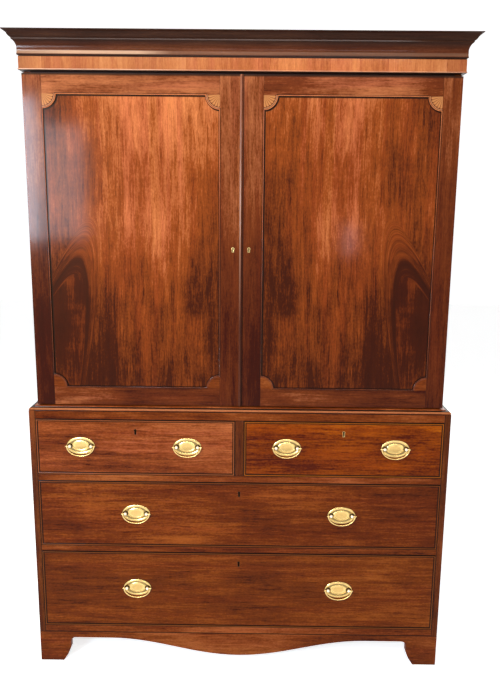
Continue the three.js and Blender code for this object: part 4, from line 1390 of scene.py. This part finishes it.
def astragal_wood():
    """A painted highlight on its left flank, strongest high up, and painted shade beside it and along its
    right edge.
    """
    made, shader, place = placed_material("mahogany astragal", **{**POLISH, "Coat Weight": 0.25})
    x, _, z = split(place)
    low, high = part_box("door_astragal")
    # Painted darker towards the foot, like the stiles: painted light from above.
    bias = ramp_of(spread(z, DOOR_LOW, DOOR_HIGH), STILE_RISE)
    colour = lay_wood(shader, along(place, "Z", 93), FRAME, 0.6, 0.4, 0.0, bias, 0.35)
    # A painted highlight on the left flank, strongest at about 1.5 m high.
    painted_highlight = band(x, low.x + 0.4 * MM, low.x + 4.4 * MM, 0.6 * MM)
    painted_highlight = times(painted_highlight, spread(z, 1.15, 1.52, 0.06, 0.85))
    painted_highlight = times(painted_highlight, spread(z, 1.52, 1.72, 1.0, 0.3))
    colour = mix_colours(painted_highlight, colour, (0.46, 0.23, 0.14, 1))
    # Painted shade: a dark line beside the flank and along the right edge.
    right_edge = spread(x, high.x - 1.2 * MM, high.x - 0.4 * MM)
    line = larger(band(x, low.x + 5.4 * MM, low.x + 7.6 * MM, 0.6 * MM), right_edge)
    paint(shader, mix_colours(times(line, 0.8), colour, SHADE_AND_SEAM_DARK))
    return made


bead = astragal()
belong(bead, "door_left", "mahogany", astragal_wood(), "door_astragal")
print("astragal faces:", len(bead.data.polygons))

# %% [markdown]
# The room is plain: a pale floor, a white wall behind, and soft lamps. The wall and the floor show white
# to the camera and in reflections through Light Path, and add no more light than their colour gives. The
# wall stands far off, so the back can be looked at too, and a lamp lights that side. The world is white in
# the same way, and a mid grey in the light that it sheds, so that it adds little to the lamps.

# %% Floor and wall
def showing(tree):
    """1 for the rays that show the background: from the camera, off a gloss and through glass."""
    rays = add_node(tree, "ShaderNodeLightPath").outputs
    return larger(larger(rays["Is Camera Ray"], rays["Is Glossy Ray"]), rays["Is Transmission Ray"])


def stage_plane(name, location, rotation, grey, glow):
    plane = primitive(name, bpy.ops.mesh.primitive_plane_add, size=26, location=location, rotation=rotation)
    made, shader = blank_material(
        name, **{"Base Color": (grey, grey, grey, 1), "Roughness": 0.9, "Specular IOR Level": 0.1})
    tree = made.node_tree
    light = add_node(tree, "ShaderNodeEmission", {"Color": (1, 1, 1, 1), "Strength": glow})
    black = add_node(tree, "ShaderNodeEmission", {"Strength": 0.0})
    shown = mix_shaders(showing(tree), black, light)
    show(made, add_node(tree, "ShaderNodeAddShader", {0: shader.outputs[0], 1: shown.outputs[0]}))
    plane.data.materials.append(made)


stage_plane("floor", (0, 0, 0), (0, 0, 0), 0.8, 0.78)
stage_plane("wall", (0, 9, 6), (math.pi / 2, 0, 0), 0.9, 0.85)
print("stage ready")

# %% Lamps and world
WORLD_LIGHT = 0.2


def lamp(name, place, target, size, power, colour=(1, 1, 1)):
    data = bpy.data.lights.new(name, "AREA")
    data.shape = "RECTANGLE"
    data.size, data.size_y = size
    data.energy = power
    data.color = colour
    made = bpy.data.objects.new(name, data)
    bpy.context.scene.collection.objects.link(made)
    made.location = place
    made.rotation_euler = (Vector(target) - Vector(place)).to_track_quat("-Z", "Y").to_euler()


lamp("window", (-1.6, -3.0, 1.74), (-0.6, -0.25, 1.55), (0.3, 0.95), 66, (0.7, 0.84, 1.0))
lamp("curtain", (-1.27, -3.0, 1.66), (-0.5, -0.25, 1.55), (0.28, 0.75), 14, (0.75, 0.87, 1.0))
lamp("small pane", (0.69, -3.0, 1.29), (0.2, -0.25, 1.35), (0.08, 0.2), 0.8, (0.65, 0.82, 1.0))
lamp("left soft", (-2.6, -2.3, 2.8), (0, 0, 1.4), (1.8, 1.8), 30)
lamp("right soft", (2.9, -2.4, 2.5), (0, 0, 1.2), (2.0, 2.0), 20)
lamp("top soft", (-0.3, -1.5, 3.5), (0, -0.25, 1.5), (2.8, 1.2), 24)
lamp("front strip", (-0.3, -3.0, 2.62), (0, -0.25, 1.9), (2.8, 0.18), 30)
lamp("back soft", (1.2, 3.4, 2.4), (0, 0, 1.1), (2.2, 2.2), 45)

world = bpy.data.worlds.new("room")
bpy.context.scene.world = world
world.use_nodes = True
background = world.node_tree.nodes["Background"]
background.inputs["Color"].default_value = (1, 1, 1, 1)
feed(background, "Strength", spread(showing(world.node_tree), 0.0, 1.0, WORLD_LIGHT, 1.0))
bpy.context.scene.view_settings.view_transform = "Standard"
